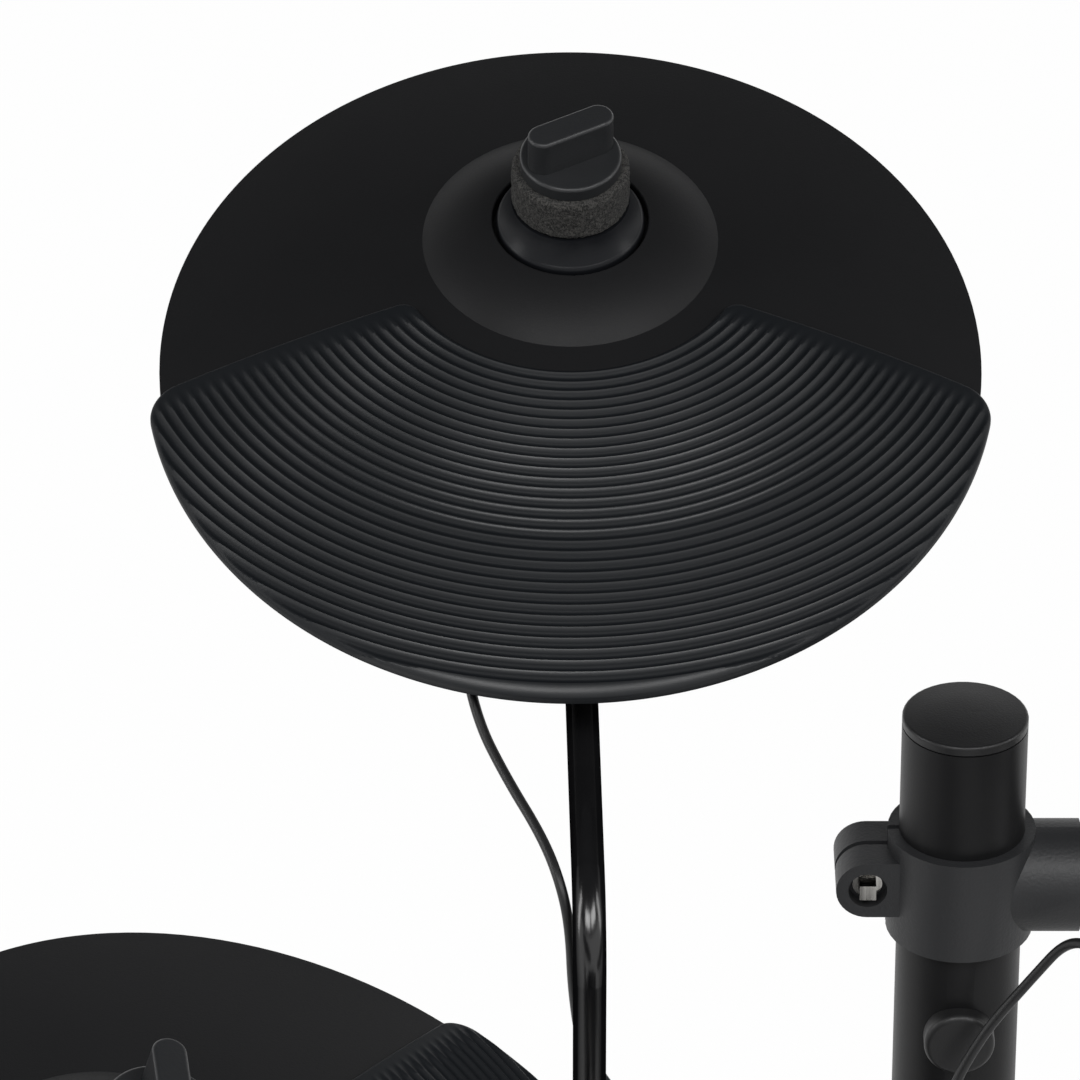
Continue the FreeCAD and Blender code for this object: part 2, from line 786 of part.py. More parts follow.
def pad_sensor():
    r = pad_radius - sensor_inset
    top = -head_thickness - seat_gap
    return spun([(0, top), (r, top), (r, top - sensor_thickness),
                 (piezo_radius, top - sensor_thickness),
                 (piezo_radius, top - sensor_thickness - piezo_thickness),
                 (0, top - sensor_thickness - piezo_thickness)])


# Sound module. Local frame: panel facing +Z, panel's top edge towards +Y.

def rounded_box(width, height, depth, corner, z_low):
    block = Part.makeBox(width, height, depth, V(-width / 2, -height / 2, z_low))
    upright = [e for e in block.Edges if e.BoundBox.ZLength > depth / 2]
    return block.makeFillet(corner, upright)


key_places = [V((k - 1) * key_pitch + key_shift, key_row, 0) for k in range(3)]
dial_place = V(dial_x, dial_y, 0)


def module_front():
    outer = rounded_box(module_width, module_height, module_depth - module_wall, module_corner,
                        module_wall - module_depth)
    inner = rounded_box(module_width - 2 * module_wall, module_height - 2 * module_wall,
                        module_depth, module_corner - module_wall, -module_depth - module_wall)
    shell = outer.cut(inner)
    for place in key_places:
        shell = shell.cut(Part.makeBox(key_width + 2 * key_gap, key_length + 2 * key_gap, module_depth,
                                       place - V(key_width / 2 + key_gap, key_length / 2 + key_gap,
                                                 module_depth / 2)))
    shell = shell.cut(cylinder(dial_shaft / 2 + fit_gap, dial_place - up * module_depth / 2, up,
                               module_depth))
    shell = shell.cut(Part.makeBox(window_width, window_height, module_depth,
                                   V(window_x - window_width / 2, window_y - window_height / 2,
                                     -window_depth)))
    for k in range(2):
        jack = V(module_width / 2 - jack_depth, (k - 1 / 2) * module_jack_pitch, -module_depth / 2)
        shell = shell.cut(cylinder(jack_bore / 2, jack, across, 2 * jack_depth))
    return shell


board_top = -module_wall - key_travel - key_flange_thickness - board_gap


def module_board():
    inset = module_wall + seat_gap
    return rounded_box(module_width - 2 * inset, module_height - 2 * inset, board_thickness,
                       module_corner - module_wall, board_top - board_thickness)


def module_key():
    cap = Part.makeBox(key_width, key_length, key_stand + module_wall + seat_gap,
                       V(-key_width / 2, -key_length / 2, -module_wall - seat_gap))
    cap = cap.makeFillet(key_edge, [e for e in cap.Edges if e.BoundBox.ZMin > key_stand / 2])
    flange = Part.makeBox(key_width + 2 * key_flange, key_length + 2 * key_flange, key_flange_thickness,
                          V(-key_width / 2 - key_flange, -key_length / 2 - key_flange,
                            -module_wall - seat_gap - key_flange_thickness))
    stem_low = board_top + key_travel + seat_gap
    stem = cylinder(key_length / 4, up * stem_low, up, -module_wall - seat_gap - stem_low)
    return cap.fuse(flange).fuse(stem).removeSplitter()


def module_dial():
    body = cylinder(dial_radius, up * seat_gap, up, dial_stand)
    body = body.makeFillet(nut_edge, [e for e in body.Edges if e.BoundBox.ZMin > dial_stand / 2])
    for k in range(dial_notches):
        turn = 2 * math.pi * k / dial_notches
        spot = V(math.cos(turn), math.sin(turn), 0) * dial_radius
        body = body.cut(cylinder(notch_radius, spot, up, 2 * dial_stand))
    shaft = cylinder(dial_shaft / 2, up * (board_top + seat_gap), up, dial_stand / 2 - board_top)
    return body.fuse(shaft).removeSplitter()


def module_plate():
    return rounded_box(module_width, module_height, module_wall - seat_gap, module_corner,
                       -module_depth)


# Foot pedals. Local frame: heel towards -Y, toe towards +Y, floor at Z = 0.

axle_y = pedal_axle_inset - pedal_length / 2
axle_at = V(0, axle_y, pedal_axle_height)


def pedal_base():
    plate = Part.makeBox(pedal_width, pedal_length, pedal_plate,
                         V(-pedal_width / 2, -pedal_length / 2, 0))
    plate = plate.makeFillet(pedal_edge,
                             [e for e in plate.Edges if e.BoundBox.ZLength > pedal_plate / 2])
    for side in (-1, 1):
        inner = side * (treadle_width / 2 + pedal_cheek_gap)
        low = min(inner, inner + side * pedal_cheek)
        cheek = Part.makeBox(pedal_cheek, pedal_knuckle, pedal_axle_height,
                             V(low, axle_y - pedal_knuckle / 2, 0))
        crown = cylinder(pedal_knuckle / 2, V(low, axle_y, pedal_axle_height), across, pedal_cheek)
        plate = plate.fuse(cheek).fuse(crown)
    bumper = cylinder(bumper_radius, V(0, pedal_length / 2 - 2 * bumper_radius, 0), up,
                      pedal_plate + bumper_height)
    hole = cylinder(pedal_axle_diameter / 2 + fit_gap, axle_at - across * pedal_width, across,
                    2 * pedal_width)
    well = cylinder(pedal_knuckle / 2 + pedal_cheek_gap,
                    axle_at - across * (treadle_width / 2 + pedal_cheek_gap),
                    across, treadle_width + 2 * pedal_cheek_gap)
    return plate.fuse(bumper).cut(hole).cut(well).removeSplitter()


def pedal_axle():
    length = treadle_width + 2 * (pedal_cheek + pedal_cheek_gap)
    return cylinder(pedal_axle_diameter / 2, axle_at - across * (length / 2), across, length)


def pedal_treadle():
    plate = Part.makeBox(treadle_width, treadle_length, treadle_thickness, V(-treadle_width / 2, 0, 0))
    toe = [e for e in plate.Edges if e.BoundBox.ZLength > treadle_thickness / 2
           and e.BoundBox.YMin > treadle_length / 2]
    plate = plate.makeFillet(pedal_edge * 2, toe)
    pitch = treadle_length / (tread_ridge_count + 2)
    for k in range(tread_ridge_count):
        ridge = Part.makeBox(treadle_width - 2 * pedal_edge, tread_ridge_width,
                             treadle_thickness + tread_ridge,
                             V(pedal_edge - treadle_width / 2,
                               (k + 2) * pitch - tread_ridge_width / 2, 0))
        plate = plate.fuse(ridge)
    knuckle = cylinder(pedal_knuckle / 2, V(-treadle_width / 2, 0, 0), across, treadle_width)
    bore = cylinder(pedal_axle_diameter / 2 + fit_gap, across * -treadle_width, across,
                    2 * treadle_width)
    treadle = plate.fuse(knuckle).cut(bore).removeSplitter()
    treadle.translate(axle_at)
    return turned(treadle, axle_at, across, treadle_lean_deg)


# Leads and plugs

def plug():
    body = cylinder(plug_diameter / 2, V(0, 0, 0), up, plug_length)
    body = body.makeFillet(nut_edge, [e for e in body.Edges if e.BoundBox.ZMin > plug_length / 2])
    neck = Part.makeCone(plug_neck / 2, lead_diameter / 2 + wire_wall, plug_neck_length,
                         up * plug_length, up)
    pin = cylinder(plug_pin / 2, up * -plug_pin_length, up, plug_pin_length)
    bore = cylinder(lead_diameter / 2 + fit_gap, up * (plug_length + plug_neck_length - lead_hold),
                    up, plug_length)
    return body.fuse(neck).fuse(pin).cut(bore).removeSplitter()


def plug_at(seat, way):
    side = way.cross(up).normalize()
    return placed(plug(), seat + way * seat_gap, side, way)


def lead_end(seat, way):
    return seat + way * (seat_gap + plug_length + plug_neck_length - lead_hold + seat_gap)


def lead(name, points):
    radii = []
    for i in range(1, len(points) - 1):
        back_run = points[i - 1] - points[i]
        on_run = points[i + 1] - points[i]
        half = (math.pi - back_run.getAngle(on_run)) / 2
        radii.append(run_share * min(back_run.Length, on_run.Length) / math.tan(half))
    path = rounded_path(points, radii)
    tube = swept_round(path, lead_diameter / 2)
    due = math.pi * lead_diameter ** 2 / 4 * path.Length
    print(name, "length", round(path.Length), "least radius", round(min(radii), 1), "volume share",
          round(tube.Volume / due, 4))
    return tube


# Rack
caps = []
feet = []
for foot in (rear_left, rear_right):
    caps.append(placed(post_cap(), foot + up * (post_top - cap_lip), across, up))
    feet.append(placed(post_foot(), foot, across, up))
for foot in (front_left, front_right):
    caps.append(placed(post_cap(), foot + up * (front_post_top - cap_lip), across, up))
    feet.append(placed(post_foot(), foot, across, up))
save("post_caps", caps)
save("post_feet", feet)

button_z = post_top - button_drop
button_hole = cylinder(button_stem_od / 2 + fit_gap, V(0, -post_od, button_z), back, post_od)
save("rear_posts", [post(post_top).cut(button_hole), placed(post(post_top), rear_right, across, up)])
save("front_posts",
     [placed(post(front_post_top), foot, across, up) for foot in (front_left, front_right)])
save("cable_button", placed(cable_button(), up * button_z, across, up))

clamp_places = [(rear_left + up * crossbar_z, across), (rear_right + up * crossbar_z, -across),
                (rear_left + up * wing_z, left_wing), (rear_right + up * wing_z, right_wing),
                (front_left + up * wing_z, -left_wing), (front_right + up * wing_z, -right_wing)]
save("tube_clamps", [placed(tube_clamp(), origin, way, up) for origin, way in clamp_places])
bolts = []
for origin, way in clamp_places:
    bolts += [placed(piece, origin, way, up) for piece in ring_bolt(post_od, 180)]

save("crossbar",
     pipe_between(bar_od, bar_wall, V(stub_reach, 0, crossbar_z), across,
                  post_spacing - 2 * stub_reach))
wings = []
for foot, way in ((rear_left, left_wing), (rear_right, right_wing)):
    wings.append(pipe_between(bar_od, bar_wall, foot + up * wing_z + way * stub_reach, way,
                              wing_length - 2 * stub_reach))
save("wing_bars", wings)

# Rod clamps, their bolts and wing screws
rod_clamps = []
screws = []


def add_grip(origin, way, rise, rod_diameter):
    along = way.cross(rise)
    rod_clamps.append(placed(grip_clamp(rod_diameter), origin, way, along))
    bolts.extend(placed(piece, origin, way, along) for piece in ring_bolt(bar_od, -90))
    screw_at = origin + way * (grip_reach - wing_screw_depth)
    screws.append(placed(wing_screw(rod_diameter, grip_od / 2), screw_at, way, along))


def add_barrel(origin, way, offset):
    along = way.cross(up)
    rod_clamps.append(placed(barrel_clamp(offset), origin, way, along))
    bolts.extend(placed(piece, origin, way, along) for piece in ring_bolt(bar_od, 180))
    screws.append(placed(wing_screw(arm_diameter, barrel_od / 2), origin + way * offset, along, way))


def wing_point(foot, way, station):
    return foot + way * station + up * wing_z


tom_lean = math.radians(tom_lean_deg)
tom_way = V(0, -math.cos(tom_lean), -math.sin(tom_lean))
tom_normal = V(0, -math.sin(tom_lean), math.cos(tom_lean))
pad_reach = grip_reach + pad_clear + pad_radius
pad_spots = {
    "tom_1": (V(tom_stations[0], 0, crossbar_z), tom_way, tom_normal, pad_reach),
    "tom_2": (V(tom_stations[1], 0, crossbar_z), tom_way, tom_normal, pad_reach),
    "snare": (wing_point(rear_left, left_wing, side_pad_station), left_inward, up,
              pad_reach + side_pad_gap),
    "tom_3": (wing_point(rear_right, right_wing, side_pad_station), right_inward, up,
              pad_reach + side_pad_gap),
}
rod_start = grip_ring_radius + grip_floor + seat_gap
rods = []
shell, head, sensor = pad_shell(), pad_head(), pad_sensor()
for name, (origin, way, normal, reach) in pad_spots.items():
    add_grip(origin, way, normal, pad_rod_diameter)
    rod_end = reach - (pad_radius - head_skirt_wall - pad_socket_length) - seat_gap
    rods.append(cylinder(pad_rod_diameter / 2, origin + way * rod_start, way, rod_end - rod_start))
    centre = origin + way * reach + normal * pad_rod_drop
    side = normal.cross(way)
    for kind, piece in (("shell", shell), ("head", head), ("sensor", sensor)):
        save(name + "_" + kind, placed(piece, centre, side, normal))
    print(name, "rod axis through", centre - normal * pad_rod_drop, "along", way)

module_foot = wing_point(rear_left, left_wing, module_station)
add_grip(module_foot, up, left_inward, pad_rod_diameter)
module_post_top = grip_reach + module_post_length
rods.append(cylinder(pad_rod_diameter / 2, module_foot + up * rod_start, up,
                     module_post_top - rod_start))
save("pad_rods", rods)

# Cymbals on their arms
crash_foot = wing_point(rear_left, left_wing, crash_station)
ride_foot = wing_point(rear_right, right_wing, crash_station)
hihat_foot = wing_point(rear_left, left_wing, hihat_station)
add_barrel(crash_foot, -left_inward, arm_offset)
add_barrel(ride_foot, -right_inward, arm_offset)
add_barrel(hihat_foot, -left_inward, hihat_offset)
crash_leg = crash_foot - left_inward * arm_offset
ride_leg = ride_foot - right_inward * arm_offset
hihat_leg = hihat_foot - left_inward * hihat_offset
save("rod_clamps", rod_clamps)
save("clamp_bolts", bolts)
save("rod_clamp_screws", screws)

cymbal_pieces = {"disc": cymbal_disc(), "rubber": cymbal_rubber(), "sleeve": cymbal_sleeve(),
                 "felt": felt_washer(), "wing_nut": wing_nut(), "pickup": pickup_box()}
crash_axis = lean_axis(crash_lean_deg, 0)
hihat_axis = lean_axis(hihat_lean_deg, hihat_way_deg)
crash_arm = bent_arm(crash_leg - up * arm_tail, crash_elbow_z, crash_mount, crash_axis)
save("crash_arm", crash_arm)
ride_arm = turned(crash_arm, crash_leg, up, ride_turn_deg)
ride_arm.translate(ride_leg - crash_leg)
save("ride_arm", ride_arm)
save("hihat_arm", bent_arm(hihat_leg - up * arm_tail, hihat_elbow_z, hihat_mount, hihat_axis))
for kind, piece in cymbal_pieces.items():
    crash_piece = cymbal_at(piece, crash_mount, crash_axis, 0)
    save("crash_" + kind, crash_piece)
    ride_piece = turned(crash_piece, crash_leg, up, ride_turn_deg)
    ride_piece.translate(ride_leg - crash_leg)
    save("ride_" + kind, ride_piece)
    save("hihat_" + kind, cymbal_at(piece, hihat_mount, hihat_axis, hihat_turn_deg))

# Sound module
module_lean = math.radians(module_lean_deg)
panel_way = left_inward * math.cos(module_lean) + up * math.sin(module_lean)
panel_up = up * math.cos(module_lean) - left_inward * math.sin(module_lean)
panel_side = panel_up.cross(panel_way)
back_centre = module_foot + up * module_rise + left_inward * module_setback
panel_centre = back_centre + panel_way * module_depth


def on_panel(spot):
    return panel_centre + panel_side * spot.x + panel_up * spot.y + panel_way * spot.z


save("module_front", placed(module_front(), panel_centre, panel_side, panel_way))
save("module_board", placed(module_board(), panel_centre, panel_side, panel_way))
socket_low = module_foot + up * (grip_reach + seat_gap)
socket = cylinder(module_socket_od / 2, socket_low, up, module_socket_length)
web = Part.makeBox(module_setback + module_depth, module_web, module_socket_length,
                   V(0, -module_web / 2, 0))
web = placed(web, socket_low, left_inward, up)
inside = placed(Part.makeBox(2 * module_width, 2 * module_height, 4 * module_depth,
                             V(-module_width, -module_height,
                               -module_depth)), panel_centre, panel_side, panel_way)
bracket = socket.fuse(web).cut(inside)
post_bore = cylinder(pad_rod_diameter / 2 + fit_gap, module_foot, up, 2 * module_post_top)
back_plate = placed(module_plate(), panel_centre, panel_side, panel_way)
save("module_back", back_plate.fuse(bracket).cut(post_bore).removeSplitter())
for place, side in zip(key_places, ("left", "middle", "right")):
    save("module_key_" + side, placed(module_key(), on_panel(place), panel_side, panel_way))
save("module_dial", placed(module_dial(), on_panel(dial_place), panel_side, panel_way))

# Pedals
bases = []
for (spot, turn_deg), name in zip(pedal_places, ("hihat_treadle", "kick_treadle")):
    side = V(math.cos(math.radians(turn_deg)), math.sin(math.radians(turn_deg)), 0)
    bases += [placed(piece, spot, side, up) for piece in (pedal_base(), pedal_axle())]
    save(name, placed(pedal_treadle(), spot, side, up))
save("pedal_bases", bases)

# Leads: from the crash pickup down its arm, and from the first tom past the rear left post, to the module
crash_front = V(0, -math.cos(math.radians(crash_lean_deg)), -math.sin(math.radians(crash_lean_deg)))
crash_jack = crash_mount + across * jack_front.x - crash_front * jack_front.y + crash_axis * jack_front.z
tom_origin, tom_out, tom_up, tom_reach = pad_spots["tom_1"]
jack_turn = math.radians(pad_jack_deg)
tom_side = tom_up.cross(tom_out)
tom_jack_way = tom_side * math.cos(jack_turn) - tom_out * math.sin(jack_turn)
tom_jack_reach = pad_radius - head_skirt_wall - pad_wall / 2 + pad_jack_length
tom_jack = tom_origin + tom_out * tom_reach + tom_jack_way * tom_jack_reach
module_jacks = [on_panel(V(module_width / 2, (k - 1 / 2) * module_jack_pitch,
                           -module_depth / 2)) for k in range(2)]
save("crash_plug", plug_at(crash_jack, crash_front))
save("tom_plug", plug_at(tom_jack, tom_jack_way))
save("module_plugs", [plug_at(jack, panel_side) for jack in module_jacks])
crash_start = lead_end(crash_jack, crash_front)
crash_finish = lead_end(module_jacks[0], panel_side)
tom_start = lead_end(tom_jack, tom_jack_way)
tom_finish = lead_end(module_jacks[1], panel_side)
save("crash_lead",
     lead("crash_lead", [crash_start] + [V(*spot) for spot in crash_route] + [crash_finish]))
save("tom_lead", lead("tom_lead", [tom_start] + [V(*spot) for spot in tom_route] + [tom_finish]))
print("lead ends", crash_start, crash_finish, tom_start, tom_finish)
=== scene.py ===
import math

import bpy
from mathutils import Matrix, Vector
from mathutils.geometry import delaunay_2d_cdt


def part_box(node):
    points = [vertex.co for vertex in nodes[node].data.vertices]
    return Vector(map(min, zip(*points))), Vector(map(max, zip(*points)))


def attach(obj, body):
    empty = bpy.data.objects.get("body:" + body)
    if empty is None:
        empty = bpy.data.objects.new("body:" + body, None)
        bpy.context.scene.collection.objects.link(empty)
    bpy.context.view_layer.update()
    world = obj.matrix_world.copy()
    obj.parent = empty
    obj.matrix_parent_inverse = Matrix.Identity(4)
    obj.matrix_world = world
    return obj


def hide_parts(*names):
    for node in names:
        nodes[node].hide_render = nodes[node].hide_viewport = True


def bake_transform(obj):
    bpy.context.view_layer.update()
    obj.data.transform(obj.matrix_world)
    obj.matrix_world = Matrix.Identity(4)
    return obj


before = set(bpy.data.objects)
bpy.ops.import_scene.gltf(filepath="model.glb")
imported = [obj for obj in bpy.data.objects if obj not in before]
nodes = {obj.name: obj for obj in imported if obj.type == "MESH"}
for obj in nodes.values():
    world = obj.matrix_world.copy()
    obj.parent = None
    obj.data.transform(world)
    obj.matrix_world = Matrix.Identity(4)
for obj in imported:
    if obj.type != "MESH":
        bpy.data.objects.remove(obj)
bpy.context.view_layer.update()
print("frame loaded,", len(nodes), "nodes")


class Wire:
    # one socket of a material, with sums written as plain expressions
    def __init__(self, tree, socket=None):
        self.tree = tree
        self.socket = socket

    def node(self, kind, settings=None, inputs=None, output=0):
        made = self.tree.nodes.new(kind)
        for name, value in (settings or {}).items():
            if name == "stops":
                for element, (place, shade) in zip(made.color_ramp.elements, value):
                    element.position = place
                    element.color = (shade, shade, shade, 1)
            else:
                setattr(made, name, value)
        for name, value in (inputs or {}).items():
            if isinstance(value, Wire):
                self.tree.links.new(value.socket, made.inputs[name])
            else:
                made.inputs[name].default_value = value
        return Wire(self.tree, made.outputs[output]) if made.outputs else Wire(self.tree)

    def sum(self, operation, first, second):
        return self.node("ShaderNodeMath", {"operation": operation}, {0: first, 1: second})

    def __add__(self, other):
        return self.sum("ADD", self, other)

    def __radd__(self, other):
        return self.sum("ADD", other, self)

    def __sub__(self, other):
        return self.sum("SUBTRACT", self, other)

    def __rsub__(self, other):
        return self.sum("SUBTRACT", other, self)

    def __mul__(self, other):
        return self.sum("MULTIPLY", self, other)

    def __rmul__(self, other):
        return self.sum("MULTIPLY", other, self)


def bareTree(owner):
    # the node tree of a material or a world, emptied
    owner.use_nodes = True
    owner.node_tree.nodes.clear()
    return Wire(owner.node_tree)


def noise(here, place, scale, detail=3.0, rough=0.55):
    return here.node("ShaderNodeTexNoise", {}, {"Vector": place, "Scale": scale, "Detail": detail,
                                                "Roughness": rough})


def stretched(here, place, scale):
    return here.node("ShaderNodeMapping", {}, {"Vector": place, "Scale": scale})


def ramped(here, value, low, high):
    return here.node("ShaderNodeValToRGB", {"stops": [(low, 0.0), (high, 1.0)]}, {"Fac": value})


def blendColour(here, mask, first, second):
    return here.node("ShaderNodeMix", {"data_type": "RGBA"}, {0: mask, 6: first, 7: second}, 2)


# grain of each kind of surface, and the stretch of its values that turns to flecks
noiseMiddle = 0.5
grains = {
    "felt": {"ways": ((1.0, 2.4, 1.2), (2.4, 1.0, 1.6)), "finer": 1.3, "detail": 6.0, "rough": 0.85,
             "flecks": (0.48, 0.53)},
    "pebble": {"cellShare": 0.6, "finer": 2.1, "flecks": (0.3, 0.75)},
    "brushed": {"way": (1.0, 1.0, 0.02), "flecks": (0.35, 0.7)},
    "fine": {"flecks": (0.55, 0.8)},
}


def surfaceGrain(here, place, look):
    kind = grains[look["pattern"]]
    scale = look["grainScale"]
    if look["pattern"] == "felt":
        firstWay, secondWay = (stretched(here, place, way) for way in kind["ways"])
        fibreA = noise(here, firstWay, scale, kind["detail"], kind["rough"])
        fibreB = noise(here, secondWay, scale * kind["finer"], kind["detail"], kind["rough"])
        return fibreA * 0.5 + fibreB * 0.5
    if look["pattern"] == "pebble":
        cells = here.node("ShaderNodeTexVoronoi", {"feature": "SMOOTH_F1"},
                          {"Vector": place, "Scale": scale})
        speckle = noise(here, place, scale * kind["finer"])
        return cells * kind["cellShare"] + speckle * (1 - kind["cellShare"])
    if look["pattern"] == "brushed":
        return noise(here, stretched(here, place, kind["way"]), scale)
    return noise(here, place, scale)


def finishMaterial(name, look):
    material = bpy.data.materials.new(name)
    here = bareTree(material)
    place = here.node("ShaderNodeTexCoord", {}, {}, "Object")
    cloud = noise(here, place, look["cloudScale"], look["cloudDetail"])
    grain = surfaceGrain(here, place, look)
    fleck = ramped(here, grain, *grains[look["pattern"]]["flecks"])
    shade = ramped(here, cloud, *look["clouds"])
    base = blendColour(here, shade, (*look["colour"], 1), (*look["paler"], 1))
    colour = blendColour(here, fleck * look["fleck"], base, (*look["fleckColour"], 1))
    coat = 0.0
    if "crestCoat" in look:
        # crests of the ribs are worn smooth, as the mesh's wear attribute marks them
        coat = here.node("ShaderNodeAttribute", {"attribute_name": "wear"}, {}, "Fac") * look["crestCoat"]
    cloudy = (cloud - noiseMiddle) * look["roughVary"]
    grainy = (grain - noiseMiddle) * look["roughGrain"]
    rough = look["roughness"] + cloudy + grainy
    bump = here.node("ShaderNodeBump", {}, {"Height": grain, "Strength": look["bump"],
                                            "Distance": look["bumpDepth"]})
    shader = here.node("ShaderNodeBsdfPrincipled", {}, {
        "Base Color": colour, "Roughness": rough, "Normal": bump, "Metallic": look["metallic"],
        "IOR": look["ior"], "Coat Weight": coat, "Coat Roughness": look["coatRough"],
        "Sheen Weight": look["sheen"], "Sheen Roughness": look["sheenRough"]})
    if "edgeMatt" in look:
        # the gloss dies away where the surface turns from view
        facing = here.node("ShaderNodeLayerWeight", {}, {}, "Facing")
        turning = ramped(here, facing, *look["edgeMatt"])
        matt = here.node("ShaderNodeBsdfPrincipled", {}, {"Base Color": colour, "Roughness": rough,
                                                          "Specular IOR Level": 0.0})
        shader = here.node("ShaderNodeMixShader", {}, {0: turning, 1: shader, 2: matt})
    here.node("ShaderNodeOutputMaterial", {}, {"Surface": shader})
    return material


def finish(colour, paler, roughness, **more):
    look = {"colour": colour, "paler": paler, "roughness": roughness, "pattern": "fine",
            "cloudScale": 18.0, "cloudDetail": 4.0, "clouds": (0.3, 0.7), "grainScale": 1500.0,
            "fleck": 0.25, "fleckColour": paler, "roughVary": 0.10, "roughGrain": 0.12, "bump": 0.12,
            "bumpDepth": 0.0004, "ior": 1.35, "metallic": 0.0, "sheen": 0.0, "sheenRough": 0.5,
            "coatRough": 0.1}
    look.update(more)
    return look


finishes = {
    "tubeBlack": finish((0.0065, 0.0065, 0.007), (0.0085, 0.0085, 0.009), 0.42, bump=0.08, ior=1.28),
    "clampPlastic": finish((0.017, 0.0175, 0.019), (0.022, 0.0225, 0.024), 0.50, pattern="pebble",
                           grainScale=1100.0, bump=0.30, ior=1.46),
    "capPlastic": finish((0.0095, 0.0095, 0.010), (0.0125, 0.0125, 0.013), 0.40, bump=0.14, ior=1.40),
    "footRubber": finish((0.012, 0.012, 0.012), (0.020, 0.020, 0.020), 0.75, pattern="pebble",
                         grainScale=700.0),
    "brightSteel": finish((0.36, 0.35, 0.33), (0.44, 0.43, 0.41), 0.12, metallic=1.0, pattern="brushed",
                          grainScale=500.0, bump=0.04, fleckColour=(0.30, 0.29, 0.28)),
    "armBlack": finish((0.0045, 0.0045, 0.005), (0.006, 0.006, 0.0065), 0.20, roughVary=0.03,
                       roughGrain=0.03, bump=0.02, ior=1.58, cloudScale=40.0, edgeMatt=(0.18, 0.43)),
    "discPlastic": finish((0.0080, 0.0081, 0.0088), (0.0098, 0.0099, 0.0106), 0.50, bump=0.10, ior=1.27,
                          cloudScale=9.0),
    "ribbedRubber": finish((0.0066, 0.0078, 0.0094), (0.0086, 0.0098, 0.0114), 0.50, bump=0.10, ior=1.22,
                           fleckColour=(0.013, 0.015, 0.018), cloudScale=14.0, crestCoat=0.85,
                           coatRough=0.36),
    "sleevePlastic": finish((0.0066, 0.0072, 0.0088), (0.0084, 0.0090, 0.0106), 0.34, bump=0.05, ior=1.25),
    "felt": finish((0.0035, 0.0034, 0.0032), (0.0060, 0.0058, 0.0055), 0.95, pattern="felt",
                   grainScale=750.0, fleck=1.0, fleckColour=(0.085, 0.082, 0.076), bump=1.0,
                   bumpDepth=0.0014, sheen=0.08),
    "nutPlastic": finish((0.0150, 0.0158, 0.0172), (0.0185, 0.0193, 0.0207), 0.40, bump=0.16,
                         grainScale=1100.0, ior=1.44),
    "pickupPlastic": finish((0.011, 0.011, 0.011), (0.015, 0.015, 0.015), 0.50, bump=0.16),
    "padPlastic": finish((0.012, 0.012, 0.0125), (0.016, 0.016, 0.0165), 0.45, pattern="pebble", bump=0.18),
    "headRubber": finish((0.026, 0.027, 0.029), (0.036, 0.037, 0.039), 0.72, pattern="pebble",
                         grainScale=900.0, bump=0.30, fleckColour=(0.050, 0.051, 0.053)),
    "sensorSteel": finish((0.45, 0.45, 0.45), (0.55, 0.55, 0.55), 0.35, metallic=1.0, pattern="brushed",
                          grainScale=300.0),
    "rodSteel": finish((0.55, 0.55, 0.56), (0.66, 0.66, 0.67), 0.16, metallic=1.0, pattern="brushed",
                       grainScale=450.0, bump=0.03),
    "modulePlastic": finish((0.014, 0.014, 0.0145), (0.019, 0.019, 0.0195), 0.50, pattern="pebble",
                            grainScale=1300.0, bump=0.22),
    "board": finish((0.010, 0.075, 0.030), (0.016, 0.11, 0.045), 0.40, fleckColour=(0.30, 0.22, 0.06),
                    fleck=0.4, grainScale=300.0),
    "keyRubber": finish((0.16, 0.16, 0.165), (0.20, 0.20, 0.205), 0.65, bump=0.2, grainScale=900.0),
    "dialPlastic": finish((0.013, 0.013, 0.013), (0.018, 0.018, 0.018), 0.34, bump=0.08),
    "pedalMetal": finish((0.016, 0.016, 0.0165), (0.022, 0.022, 0.0225), 0.44, pattern="pebble",
                         grainScale=1200.0, bump=0.25),
    "leadSheath": finish((0.008, 0.008, 0.0085), (0.012, 0.012, 0.0125), 0.40, bump=0.10, grainScale=2400.0,
                         ior=1.42),
    "plugPlastic": finish((0.011, 0.011, 0.011), (0.016, 0.016, 0.016), 0.40, bump=0.12),
}
materials = {name: finishMaterial(name, look) for name, look in finishes.items()}
print("finishes made:", len(materials))


# which finish each node takes, by its name or by the end of its name
nodeFinish = {
    "rear_posts": "tubeBlack", "front_posts": "tubeBlack", "crossbar": "tubeBlack",
    "wing_bars": "tubeBlack",
    "tube_clamps": "clampPlastic", "rod_clamps": "clampPlastic", "clamp_bolts": "brightSteel",
    "rod_clamp_screws": "brightSteel", "post_caps": "capPlastic", "cable_button": "capPlastic",
    "post_feet": "footRubber", "pad_rods": "rodSteel", "pedal_bases": "pedalMetal",
    "hihat_treadle": "pedalMetal", "kick_treadle": "pedalMetal", "module_front": "modulePlastic",
    "module_back": "modulePlastic", "module_board": "board", "module_dial": "dialPlastic",
    "module_plugs": "plugPlastic", "crash_plug": "plugPlastic", "tom_plug": "plugPlastic",
}
endFinish = {"_arm": "armBlack", "_disc": "discPlastic", "_rubber": "ribbedRubber",
             "_sleeve": "sleevePlastic", "_felt": "felt", "_wing_nut": "nutPlastic",
             "_pickup": "pickupPlastic", "_shell": "padPlastic",
             "_head": "headRubber", "_sensor": "sensorSteel", "_lead": "leadSheath"}
for name, thing in nodes.items():
    chosen = nodeFinish.get(name)
    if name.startswith("module_key"):
        chosen = "keyRubber"
    for tail, given in endFinish.items():
        if chosen is None and name.endswith(tail):
            chosen = given
    thing.data.materials.clear()
    thing.data.materials.append(materials[chosen])
print("nodes dressed")


